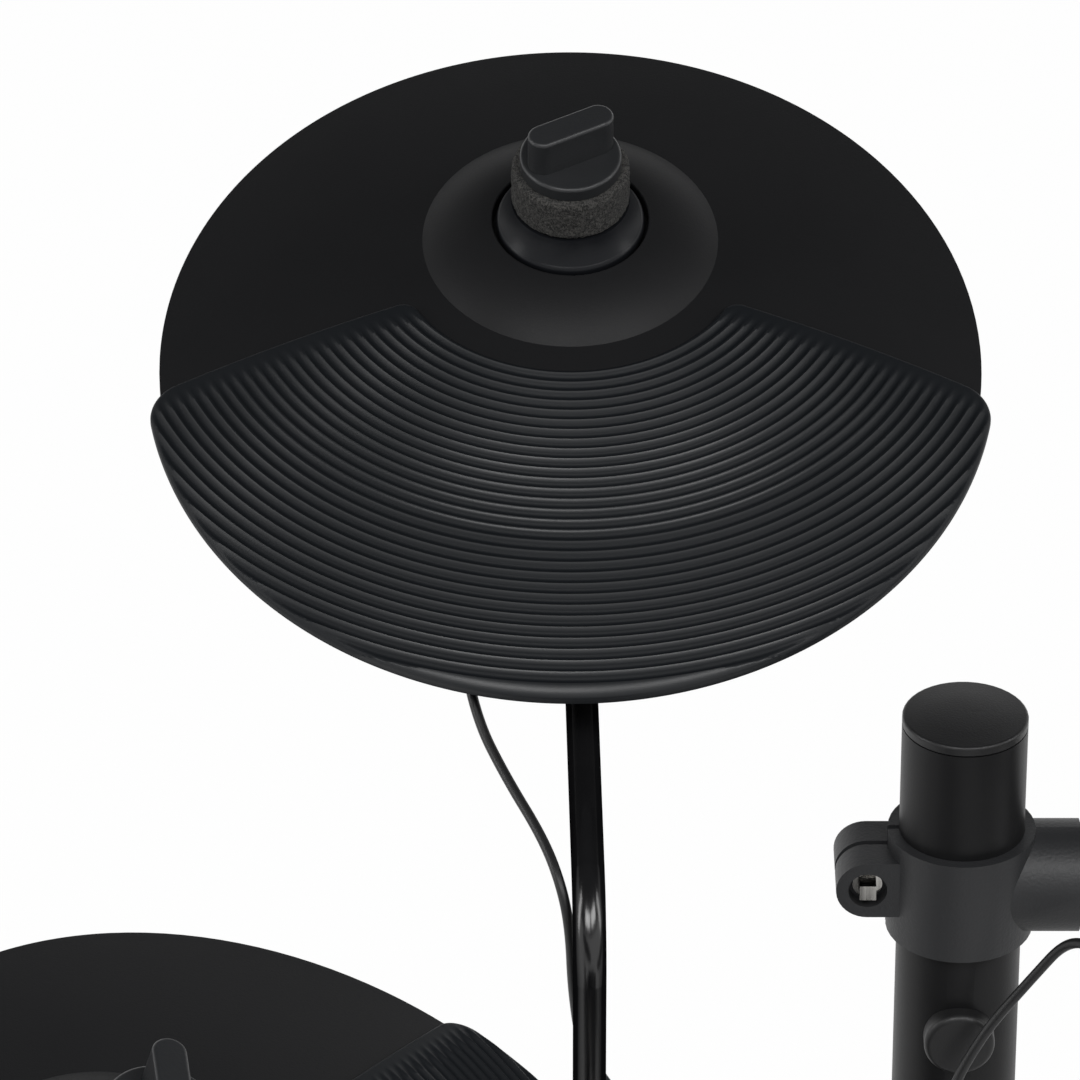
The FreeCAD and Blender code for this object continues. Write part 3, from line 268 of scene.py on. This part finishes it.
def clearSelection():
    if bpy.context.object and bpy.context.object.mode != "OBJECT":
        bpy.ops.object.mode_set(mode="OBJECT")
    bpy.ops.object.select_all(action="DESELECT")


def choose(thing):
    clearSelection()
    thing.select_set(True)
    bpy.context.view_layer.objects.active = thing


def placed(name, data):
    thing = bpy.data.objects.new(name, data)
    bpy.context.scene.collection.objects.link(thing)
    return thing


# leads: control points in metres
leadLook = {"thick": 0.0032, "finish": "leadSheath", "order": 3, "steps": 12, "roundSteps": 4}
crashLead = {
    "start": (-0.1544, 0.05718, 0.81629), "end": (-0.02699, -0.12460, 0.64097), "length": 0.359,
    "swingsWith": "crash_stand", "still": (-0.115, -0.047, 0.665), "swung": (-0.1544, 0.0381, 0.8105),
    "route": [(-0.1544, 0.0381, 0.8105), (-0.152, 0.020, 0.797), (-0.147, 0.002, 0.7785),
              (-0.1381, -0.014, 0.7678), (-0.1268, -0.032, 0.7575), (-0.1214, -0.046, 0.7498),
              (-0.1188, -0.050, 0.7367), (-0.118, -0.049, 0.714), (-0.115, -0.047, 0.690),
              (-0.098, -0.046, 0.664), (-0.072, -0.052, 0.646), (-0.042, -0.064, 0.640),
              (-0.018, -0.084, 0.640), (-0.0147, -0.1088, 0.641)],
}
tomLead = {
    "start": (0.05793, -0.07917, 0.70667), "end": (-0.03365, -0.11940, 0.65909), "length": 0.228,
    "swingsWith": "tom_1_pad", "still": (0.0200, -0.0300, 0.7048), "swung": (0.0434, -0.0650, 0.7097),
    "route": [(0.0434, -0.0650, 0.7097), (0.0420, -0.0460, 0.7240), (0.0320, -0.0310, 0.7220),
              (0.0200, -0.0300, 0.7048), (0.0060, -0.0300, 0.6848), (-0.0050, -0.0340, 0.6620),
              (-0.0040, -0.0560, 0.6460), (-0.0040, -0.0800, 0.6480), (-0.0213, -0.1036, 0.6590)],
}


def makeLead(name, lead, node):
    line = bpy.data.curves.new(name, "CURVE")
    line.dimensions = "3D"
    points = [lead["start"], *lead["route"], lead["end"]]
    spline = line.splines.new("NURBS")
    spline.points.add(len(points) - 1)
    for point, place in zip(spline.points, points):
        point.co = (*place, 1)
    spline.order_u = leadLook["order"]
    spline.use_endpoint_u = True
    line.resolution_u = leadLook["steps"]
    thing = placed(name, line)
    bpy.context.view_layer.update()
    bare = bpy.data.meshes.new_from_object(thing)
    bpy.data.meshes.remove(bare)
    line.bevel_depth = leadLook["thick"] / 2
    line.bevel_resolution = leadLook["roundSteps"]
    line.use_fill_caps = True
    line.materials.append(materials[leadLook["finish"]])
    choose(thing)
    bpy.ops.object.convert(target="MESH")
    bpy.ops.object.shade_smooth()
    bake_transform(thing)
    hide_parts(node)


makeLead("crashLead", crashLead, "crash_lead")
makeLead("tomLead", tomLead, "tom_lead")
print("leads made")


# cymbal pads: how far each leans, which way, and how far its front is turned, in degrees
padPlaces = {
    "crash": {"lean": 17.0, "way": 0.0, "turn": 0.0},
    "ride": {"lean": 17.0, "way": -25.0, "turn": -25.0},
    "hihat": {"lean": 19.2, "way": 52.7, "turn": 73.4},
}
feltRise = 0.02335  # from the pad's middle up its post to the middle of the felt


def feltMiddle(pad):
    low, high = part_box(pad + "_felt")
    return (low + high) / 2


def padMatrix(pad):
    place = padPlaces[pad]
    lean, way, turn = (math.radians(place[key]) for key in ("lean", "way", "turn"))
    axis = Vector((math.sin(lean) * math.sin(way), -math.sin(lean) * math.cos(way), math.cos(lean)))
    side = Vector((math.cos(turn), math.sin(turn), 0))
    side = (side - axis * side.dot(axis)).normalized()
    basis = Matrix((side, axis.cross(side), axis)).transposed()
    return Matrix.Translation(feltMiddle(pad) - axis * feltRise) @ basis.to_4x4()


# felt washers: pressed wool, so the rim and faces are uneven
feltShape = {"radius": 0.019, "height": 0.0149, "bore": 0.0052, "edge": 0.0012, "rough": 0.0008,
             "grain": 0.0011, "grainDepth": 2, "voxel": 0.0005, "sides": 96, "edgeSteps": 4, "flat": 0.9}
feltTexture = bpy.data.textures.new("feltGrain", "CLOUDS")
feltTexture.noise_scale = feltShape["grain"]
feltTexture.noise_depth = feltShape["grainDepth"]


def makeFelt(pad):
    clearSelection()
    radius = feltShape["radius"] - feltShape["rough"]
    height = feltShape["height"] - feltShape["rough"]
    bpy.ops.mesh.primitive_cylinder_add(vertices=feltShape["sides"], radius=radius, depth=height,
                                        end_fill_type="NGON")
    thing = bpy.context.object
    thing.name = pad + "Felt"
    bpy.ops.object.mode_set(mode="EDIT")
    bpy.ops.mesh.select_all(action="SELECT")
    bpy.ops.mesh.select_mode(type="FACE")
    bpy.ops.object.mode_set(mode="OBJECT")
    for face in thing.data.polygons:
        face.select = abs(face.normal.z) > feltShape["flat"]
    bpy.ops.object.mode_set(mode="EDIT")
    bpy.ops.mesh.inset(thickness=radius - feltShape["bore"], depth=0.0)
    bpy.ops.mesh.bridge_edge_loops()
    bpy.ops.mesh.select_all(action="SELECT")
    bpy.ops.mesh.normals_make_consistent(inside=False)
    bpy.ops.object.mode_set(mode="OBJECT")
    rounded = thing.modifiers.new("edge", "BEVEL")
    rounded.width = feltShape["edge"]
    rounded.segments = feltShape["edgeSteps"]
    bpy.ops.object.modifier_apply(modifier="edge")
    remeshed = thing.modifiers.new("fibre", "REMESH")
    remeshed.mode = "VOXEL"
    remeshed.voxel_size = feltShape["voxel"]
    bpy.ops.object.modifier_apply(modifier="fibre")
    fuzz = thing.modifiers.new("fuzz", "DISPLACE")
    fuzz.texture = feltTexture
    fuzz.strength = feltShape["rough"]
    bpy.ops.object.modifier_apply(modifier="fuzz")
    bpy.ops.object.shade_smooth()
    thing.matrix_world = padMatrix(pad) @ Matrix.Translation((0, 0, feltRise))
    bpy.ops.object.transform_apply(location=True, rotation=True, scale=True)
    thing.data.materials.append(materials["felt"])
    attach(thing, pad + "_stand")
    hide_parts(pad + "_felt")


for pad in padPlaces:
    makeFelt(pad)
print("felts made")


# ribbed strike zones: the ribs ring the post and run out softly at the sides, and the rim rolls over
rubberShape = {
    "bow": 0.522, "valley": 0.0017, "crest": 0.0030, "plainShare": 0.68, "under": 0.00002, "skirt": 0.0008,
    "inner": 0.0565, "rim": 0.1315, "rimMiddle": 0.0364, "discRim": 0.1273, "discMiddle": 0.0384,
    "cornerSet": 0.012, "slope": 17.5, "outerCorner": 0.010, "innerCorner": 0.006,
    "ribFirst": 0.0583, "ribPitch": 0.00353, "ribLast": 30, "ribSharp": 1.6,
    "margin": 0.0020, "fade": 0.0115, "lip": 0.0003, "lipFade": 0.0022,
    "rimRoll": (0.0034, 0.0020), "sideRoll": (0.0010, 0.0010), "innerRoll": (0.0006, 0.0006),
    "rings": (0.0, 0.00012, 0.0003, 0.0006, 0.0010), "smoothAngle": 50.0,
    "wearMiddle": 20.0, "wearSide": 60.0, "wearLeast": 0.3, "rimWear": 0.5,
    "rowStep": 0.0005, "turnStep": 0.4, "edgeStep": 0.0005, "rimStep": 0.0007, "joinGap": 1e-7,
    "underStep": 0.008, "underTurn": 2.4, "discGap": 0.0001, "discStep": 0.0014,
}


def smoothStep(low, high, value):
    share = min(max((value - low) / (high - low), 0.0), 1.0)
    return share * share * (3 - 2 * share)


def rollDrop(roll, inset):
    width, depth = roll
    share = min(max(1 - inset / width, 0.0), 1.0)
    return depth * (1 - math.sqrt(1 - share * share))


def arcPoints(middle, radius, start, end, step, inward):
    count = math.ceil(abs(end - start) * radius / step)
    ways = [start + (end - start) * k / count for k in range(count)]
    return [(middle + radius * Vector((math.cos(way), math.sin(way))),
             inward * Vector((math.cos(way), math.sin(way)))) for way in ways]


class StrikeZone:
    # plan of one strike zone about the post, front towards -Y
    def __init__(self, shape):
        self.shape = shape
        slope = math.radians(shape["slope"])
        self.rimMiddle = Vector((0, -shape["rimMiddle"]))
        self.apex = Vector((0, -shape["cornerSet"]))
        self.along = Vector((math.cos(slope), -math.sin(slope)))
        self.inward = Vector((-math.sin(slope), -math.cos(slope)))
        outer, inner = shape["outerCorner"], shape["innerCorner"]
        self.outerMiddle = self.onSide(outer, self.rimMiddle, shape["rim"] - outer)
        self.innerMiddle = self.onSide(inner, Vector((0, 0)), shape["inner"] + inner)

    def onSide(self, inset, middle, distance):
        # the point of a line inset from the side that is a distance from a middle
        start = self.apex + self.inward * inset - middle
        half = start.dot(self.along)
        reach = math.sqrt(half * half - start.length_squared + distance * distance) - half
        return middle + start + self.along * reach

    def rightEdge(self):
        # from the front of the inner arc, round the right corners, to the front of the rim
        shape = self.shape
        front = -math.pi / 2
        sideWay = math.atan2(-self.inward.y, -self.inward.x)
        innerWay = math.atan2(self.innerMiddle.y, self.innerMiddle.x)
        fromRim = self.outerMiddle - self.rimMiddle
        rimWay = math.atan2(fromRim.y, fromRim.x)
        edge = arcPoints(Vector((0, 0)), shape["inner"], front, innerWay, shape["rimStep"], 1)
        edge += arcPoints(self.innerMiddle, shape["innerCorner"], innerWay + math.pi, sideWay,
                          shape["edgeStep"], -1)
        start = self.innerMiddle - self.inward * shape["innerCorner"]
        end = self.outerMiddle - self.inward * shape["outerCorner"]
        count = math.ceil((end - start).length / shape["edgeStep"])
        edge += [(start.lerp(end, k / count), self.inward) for k in range(count)]
        edge += arcPoints(self.outerMiddle, shape["outerCorner"], sideWay, rimWay, shape["edgeStep"], -1)
        ways = self.rimWays(rimWay, front) + [front]
        for start, end in zip(ways, ways[1:]):
            edge += arcPoints(self.rimMiddle, shape["rim"], start, end, shape["rimStep"], -1)
        return edge + [(self.rimMiddle + Vector((0, -shape["rim"])), Vector((0, 1)))]

    def rimWays(self, start, front):
        # where the rows of the ribs meet the last ring, so that the two join along the ribs
        shape = self.shape
        ring = shape["rim"] - shape["rings"][-1]
        back = shape["rimMiddle"]
        ways = [start]
        for row in range(math.ceil((ring + back - shape["inner"]) / shape["rowStep"])):
            r = shape["inner"] + shape["rowStep"] * row
            height = (back * back + ring * ring - r * r) / (2 * ring * back)
            if abs(height) < 1 and front < math.asin(height) < start:
                ways.append(math.asin(height))
        return ways

    def edge(self):
        right = self.rightEdge()
        left = [(Vector((-point.x, point.y)), Vector((-way.x, way.y))) for point, way in right[-2:0:-1]]
        return right + left

    def insets(self, point):
        # distances in from the side line, the rim and the inner arc, and how far round the outer corner
        shape = self.shape
        point = Vector((abs(point.x), point.y))
        side = (point - self.apex).dot(self.inward)
        rim = shape["rim"] - (point - self.rimMiddle).length
        inner = point.length - shape["inner"]
        if side < shape["outerCorner"] and rim < shape["outerCorner"] and point.x > self.innerMiddle.x:
            away = point - self.outerMiddle
            inset = shape["outerCorner"] - away.length
            fromRim = (self.outerMiddle - self.rimMiddle).normalized()
            whole = fromRim.angle(-self.inward)
            share = min(away.angle(-self.inward, 0.0) / whole, 1.0)
            return inset, inset, inner, share
        if side < shape["innerCorner"] and inner < shape["innerCorner"]:
            inset = shape["innerCorner"] - (point - self.innerMiddle).length
            return inset, rim, inset, 0.0
        return side, rim, inner, 1.0 if rim < side else 0.0

    def ribShare(self, point):
        # 0 in a groove and 1 on a crest
        shape = self.shape
        turn = (point.length - shape["ribFirst"]) / shape["ribPitch"]
        rim = self.insets(point)[1]
        lineSide = (Vector((abs(point.x), point.y)) - self.apex).dot(self.inward)
        full = smoothStep(shape["margin"], shape["fade"], lineSide)
        wave = 1.0
        if turn < shape["ribLast"]:
            wave = ((1 + math.cos(2 * math.pi * turn)) / 2) ** shape["ribSharp"]
            full *= smoothStep(shape["lip"], shape["lip"] + shape["lipFade"], rim)
        return shape["plainShare"] + (wave - shape["plainShare"]) * full

    def wear(self, point):
        # sticks polish the crests, most of all in the middle
        shape = self.shape
        way = math.degrees(math.atan2(abs(point.x), -point.y))
        aside = smoothStep(shape["wearMiddle"], shape["wearSide"], way)
        inward = smoothStep(0.0, shape["rimRoll"][0], self.insets(point)[1])
        rimShare = shape["rimWear"] + (1 - shape["rimWear"]) * inward
        return self.ribShare(point) ** 2 * (1 - (1 - shape["wearLeast"]) * aside) * rimShare

    def top(self, point):
        shape = self.shape
        side, rim, inner, share = self.insets(point)
        lift = shape["valley"] + (shape["crest"] - shape["valley"]) * self.ribShare(point)
        sideDrop, rimDrop = rollDrop(shape["sideRoll"], side), rollDrop(shape["rimRoll"], rim)
        drop = sideDrop + (rimDrop - sideDrop) * share if side == rim else max(sideDrop, rimDrop)
        drop = max(drop, rollDrop(shape["innerRoll"], inner))
        return self.bow(point.length) + lift - drop

    def bottom(self, point):
        shape = self.shape
        beyond = (point - Vector((0, -shape["discMiddle"]))).length > shape["discRim"]
        return self.bow(point.length) + (-shape["skirt"] if beyond else shape["under"])

    def bow(self, r):
        return math.sqrt(self.shape["bow"] ** 2 - r * r) - self.shape["bow"]

    def inside(self, point, least):
        return min(self.insets(point)[:3]) > least

    def rows(self, first, step, turnStep, least):
        shape = self.shape
        points = []
        last = shape["rim"] + shape["rimMiddle"]
        turns = math.floor(90 / turnStep)
        for row in range(math.ceil((last - first) / step)):
            r = first + step * row
            for turn in range(-turns, turns + 1):
                way = math.radians(turn * turnStep) - math.pi / 2
                point = Vector((r * math.cos(way), r * math.sin(way)))
                if self.inside(point, least):
                    points.append(point)
        return points


def filled(border, inner, gap):
    # triangles over the space within the border, with the inner points as corners
    points = border + inner
    ring = list(range(len(border)))
    made = delaunay_2d_cdt(points, [], [ring], 1, gap)
    faces, origins = made[2], made[3]
    return [tuple(origins[k][0] for k in face) for face in faces]


def strikeMesh(shape):
    zone = StrikeZone(shape)
    edge = zone.edge()
    count = len(edge)
    rings = [[point + way * inset for point, way in edge] for inset in shape["rings"]]
    least = shape["rings"][-1] + shape["rowStep"] / 2
    rows = zone.rows(shape["inner"], shape["rowStep"], shape["turnStep"], least)
    plan = [point for ring in rings for point in ring] + rows
    corners = [(point.x, point.y, zone.top(point)) for point in plan]
    faces = []
    for ring in range(len(rings) - 1):
        for k in range(count):
            near, far = ring * count + k, ring * count + (k + 1) % count
            faces.append((near, far, far + count, near + count))
    lastRing = (len(rings) - 1) * count
    faces += [tuple(lastRing + k for k in face) for face in filled(rings[-1], rows, shape["joinGap"])]
    discEdge = []
    for radius in (shape["discRim"] - shape["discGap"], shape["discRim"] + shape["discGap"]):
        around = arcPoints(Vector((0, -shape["discMiddle"])), radius, -math.pi, 0.0, shape["discStep"], 1)
        discEdge += [point for point, way in around if zone.inside(point, shape["edgeStep"])]
    under = zone.rows(shape["inner"], shape["underStep"], shape["underTurn"], shape["rowStep"])
    below = rings[0] + discEdge + under
    start = len(corners)
    corners += [(point.x, point.y, zone.bottom(point)) for point in below]
    lower = filled(rings[0], discEdge + under, shape["joinGap"])
    faces += [tuple(start + k for k in reversed(face)) for face in lower]
    faces += [(k, start + k, start + (k + 1) % count, (k + 1) % count) for k in range(count)]
    mesh = bpy.data.meshes.new("strikeZone")
    mesh.from_pydata(corners, [], faces)
    wear = mesh.attributes.new("wear", "FLOAT", "POINT")
    for k, point in enumerate(plan):
        wear.data[k].value = zone.wear(point)
    return mesh


strikeZone = strikeMesh(rubberShape)
for pad in padPlaces:
    thing = placed(pad + "Rubber", strikeZone.copy())
    choose(thing)
    thing.matrix_world = padMatrix(pad)
    bpy.ops.object.transform_apply(location=True, rotation=True, scale=True)
    bpy.ops.object.mode_set(mode="EDIT")
    bpy.ops.mesh.select_all(action="SELECT")
    bpy.ops.mesh.normals_make_consistent(inside=False)
    bpy.ops.object.mode_set(mode="OBJECT")
    bpy.ops.object.shade_smooth_by_angle(angle=math.radians(rubberShape["smoothAngle"]))
    thing.data.materials.append(materials["ribbedRubber"])
    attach(thing, pad + "_cymbal")
    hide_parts(pad + "_rubber")
    print(pad, "strike zone,", len(thing.data.polygons), "faces")


# module screen: a smoked pane in the panel's recess, with plain level bars behind it
screenPane = {"centre": (-0.09593, -0.22200, 0.67229), "size": (0.0574, 0.0294, 0.0006), "corner": 0.0012,
              "side": (0.61566, 0.78801, 0.0), "up": (-0.33303, 0.26019, 0.90631), "brink": 0.00015,
              "cornerSteps": 4, "brinkSteps": 2}
screenLook = {"bars": 9.0, "barShare": 0.62, "segments": 11.0, "segmentShare": 0.7, "barLow": -0.2,
              "barRise": 0.5, "foot": -0.36, "halfWide": 0.445, "dark": (0.012, 0.016, 0.020),
              "pale": (0.05, 0.11, 0.12), "glow": (0.06, 0.20, 0.22), "roughness": 0.08,
              "smear": 0.10, "smearScale": 55.0, "smearDetail": 4.0, "ior": 1.45}


def screenMaterial(pane, look, turn):
    material = bpy.data.materials.new("screenGlass")
    here = bareTree(material)
    place = here.node("ShaderNodeTexCoord", {}, {}, "Object")
    level = here.node("ShaderNodeMapping", {"vector_type": "TEXTURE"},
                      {"Vector": place, "Location": pane["centre"], "Rotation": turn.to_euler()})
    across = here.node("ShaderNodeSeparateXYZ", {}, {0: level}, "X") * (1 / pane["size"][0])
    upward = here.node("ShaderNodeSeparateXYZ", {}, {0: level}, "Y") * (1 / pane["size"][1])
    column = (across + 0.5) * look["bars"]
    inBar = here.sum("LESS_THAN", here.sum("FRACT", column, 0.0), look["barShare"])
    chance = here.node("ShaderNodeTexWhiteNoise", {"noise_dimensions": "1D"},
                       {"W": here.sum("FLOOR", column, 0.0)})
    below = here.sum("LESS_THAN", upward, chance * look["barRise"] + look["barLow"])
    above = here.sum("GREATER_THAN", upward, look["foot"])
    inside = here.sum("LESS_THAN", here.sum("ABSOLUTE", across, 0.0), look["halfWide"])
    segment = here.sum("FRACT", (upward + 0.5) * look["segments"], 0.0)
    lit = inBar * below * above * inside * here.sum("LESS_THAN", segment, look["segmentShare"])
    smear = noise(here, place, look["smearScale"], look["smearDetail"])
    colour = blendColour(here, lit, (*look["dark"], 1), (*look["pale"], 1))
    glow = blendColour(here, lit, (0.0, 0.0, 0.0, 1), (*look["glow"], 1))
    shader = here.node("ShaderNodeBsdfPrincipled", {}, {
        "Base Color": colour, "Roughness": look["roughness"] + smear * look["smear"],
        "Emission Color": glow, "Emission Strength": 1.0, "IOR": look["ior"]})
    here.node("ShaderNodeOutputMaterial", {}, {"Surface": shader})
    return material


clearSelection()
bpy.ops.mesh.primitive_cube_add(size=1.0)
pane = bpy.context.object
pane.name = "screenPane"
pane.scale = screenPane["size"]
bpy.ops.object.transform_apply(location=False, rotation=False, scale=True)
upright = pane.modifiers.new("corner", "BEVEL")
upright.limit_method = "WEIGHT"
upright.width = screenPane["corner"]
upright.segments = screenPane["cornerSteps"]
weights = pane.data.attributes.new("bevel_weight_edge", "FLOAT", "EDGE")
for edge in pane.data.edges:
    first, second = (pane.data.vertices[k].co for k in edge.vertices)
    weights.data[edge.index].value = 1.0 if abs(first.z - second.z) > screenPane["brink"] else 0.0
bpy.ops.object.modifier_apply(modifier="corner")
brink = pane.modifiers.new("brink", "BEVEL")
brink.width = screenPane["brink"]
brink.segments = screenPane["brinkSteps"]
bpy.ops.object.modifier_apply(modifier="brink")
sideWay, upWay = Vector(screenPane["side"]), Vector(screenPane["up"])
paneTurn = Matrix((sideWay, upWay, sideWay.cross(upWay))).transposed()
pane.matrix_world = Matrix.Translation(screenPane["centre"]) @ paneTurn.to_4x4()
bpy.ops.object.transform_apply(location=True, rotation=True, scale=True)
pane.data.materials.append(screenMaterial(screenPane, screenLook, paneTurn))
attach(pane, "module")
print("screen made")


# pale floor that fades to white for the camera and for mirrors
def paleMaterial(name, stage):
    material = bpy.data.materials.new(name)
    here = bareTree(material)
    camera = here.node("ShaderNodeLightPath", {}, {}, "Is Camera Ray")
    glossy = here.node("ShaderNodeLightPath", {}, {}, "Is Glossy Ray")
    through = here.node("ShaderNodeLightPath", {}, {}, "Is Transmission Ray")
    place = here.node("ShaderNodeTexCoord", {}, {}, "Object")
    away = here.node("ShaderNodeVectorMath", {"operation": "DISTANCE"}, {0: place, 1: stage["centre"]},
                     "Value")
    share = here.node("ShaderNodeMapRange", {"interpolation_type": "SMOOTHSTEP"},
                      {"Value": away, "From Min": stage["near"], "From Max": stage["far"],
                       "To Min": stage["nearShare"], "To Max": stage["farShare"]})
    seen = here.sum("MINIMUM", camera + glossy + through, 1.0) * share
    plain = here.node("ShaderNodeBsdfDiffuse", {}, {"Color": (*stage["shade"], 1)})
    white = here.node("ShaderNodeEmission", {}, {"Color": (1, 1, 1, 1), "Strength": 1.0})
    mixed = here.node("ShaderNodeMixShader", {}, {0: seen, 1: plain, 2: white})
    here.node("ShaderNodeOutputMaterial", {}, {"Surface": mixed})
    return material


stageSet = {"radius": 30.0, "wall": 16.0, "centre": (0.26, -0.15, -0.0005), "near": 0.55, "far": 1.10,
            "nearShare": 0.70, "farShare": 0.985, "sides": 96, "shade": (0.9, 0.9, 0.9),
            "ambient": 0.08, "ambientColour": (0.95, 0.97, 1.0)}
clearSelection()
bpy.ops.mesh.primitive_circle_add(vertices=stageSet["sides"], radius=stageSet["radius"], fill_type="NGON",
                                  location=stageSet["centre"])
floor = bpy.context.object
floor.name = "floor"
bpy.ops.object.mode_set(mode="EDIT")
bpy.ops.mesh.select_mode(type="EDGE")
bpy.ops.mesh.select_all(action="SELECT")
bpy.ops.mesh.region_to_loop()
bpy.ops.mesh.extrude_edges_move(TRANSFORM_OT_translate={"value": (0, 0, stageSet["wall"])})
bpy.ops.object.mode_set(mode="OBJECT")
bpy.ops.object.transform_apply(location=True, rotation=True, scale=True)
floor.data.materials.append(paleMaterial("paleFloor", stageSet))

world = bpy.data.worlds.new("studio")
bpy.context.scene.world = world
sky = bareTree(world)
ambient = sky.node("ShaderNodeBackground", {}, {"Color": (*stageSet["ambientColour"], 1),
                                                "Strength": stageSet["ambient"]})
sky.node("ShaderNodeOutputWorld", {}, {"Surface": ambient})

lamps = {
    "frontLeft": {"place": (-0.75, -2.26, 3.10), "aim": (-0.10, 0.05, 0.8), "size": (1.8, 1.0),
                  "watts": 48.0},
    "frontRight": {"place": (1.35, -1.85, 3.10), "aim": (-0.10, 0.05, 0.8), "size": (1.8, 1.0),
                   "watts": 44.0},
    "leftBox": {"place": (-2.2, -0.3, 1.7), "aim": (-0.12, 0.0, 0.8), "size": (0.5, 1.6), "watts": 14.0},
    "rightBox": {"place": (2.1, -0.2, 1.7), "aim": (-0.12, 0.0, 0.8), "size": (0.5, 1.6), "watts": 12.0},
}
for name, lamp in lamps.items():
    light = bpy.data.lights.new(name, "AREA")
    light.shape = "RECTANGLE"
    light.size, light.size_y = lamp["size"]
    light.energy = lamp["watts"]
    thing = placed(name, light)
    thing.location = lamp["place"]
    thing.rotation_euler = (Vector(lamp["aim"]) - Vector(lamp["place"])).to_track_quat("-Z", "Y").to_euler()

cameraSet = {"place": (-0.1278, -1.9614, 2.0207), "elevation": 31.0, "lens": 257.5, "sensor": 36.0,
             "nearest": 0.05, "farthest": 60.0}
eye = bpy.data.cameras.new("eye")
eye.lens = cameraSet["lens"]
eye.sensor_width = cameraSet["sensor"]
eye.clip_start = cameraSet["nearest"]
eye.clip_end = cameraSet["farthest"]
eyeObject = placed("eye", eye)
eyeObject.location = cameraSet["place"]
eyeObject.rotation_euler = (math.radians(90.0 - cameraSet["elevation"]), 0.0, 0.0)
bpy.context.scene.camera = eyeObject
bpy.context.scene.view_settings.view_transform = "Standard"
print("studio set")
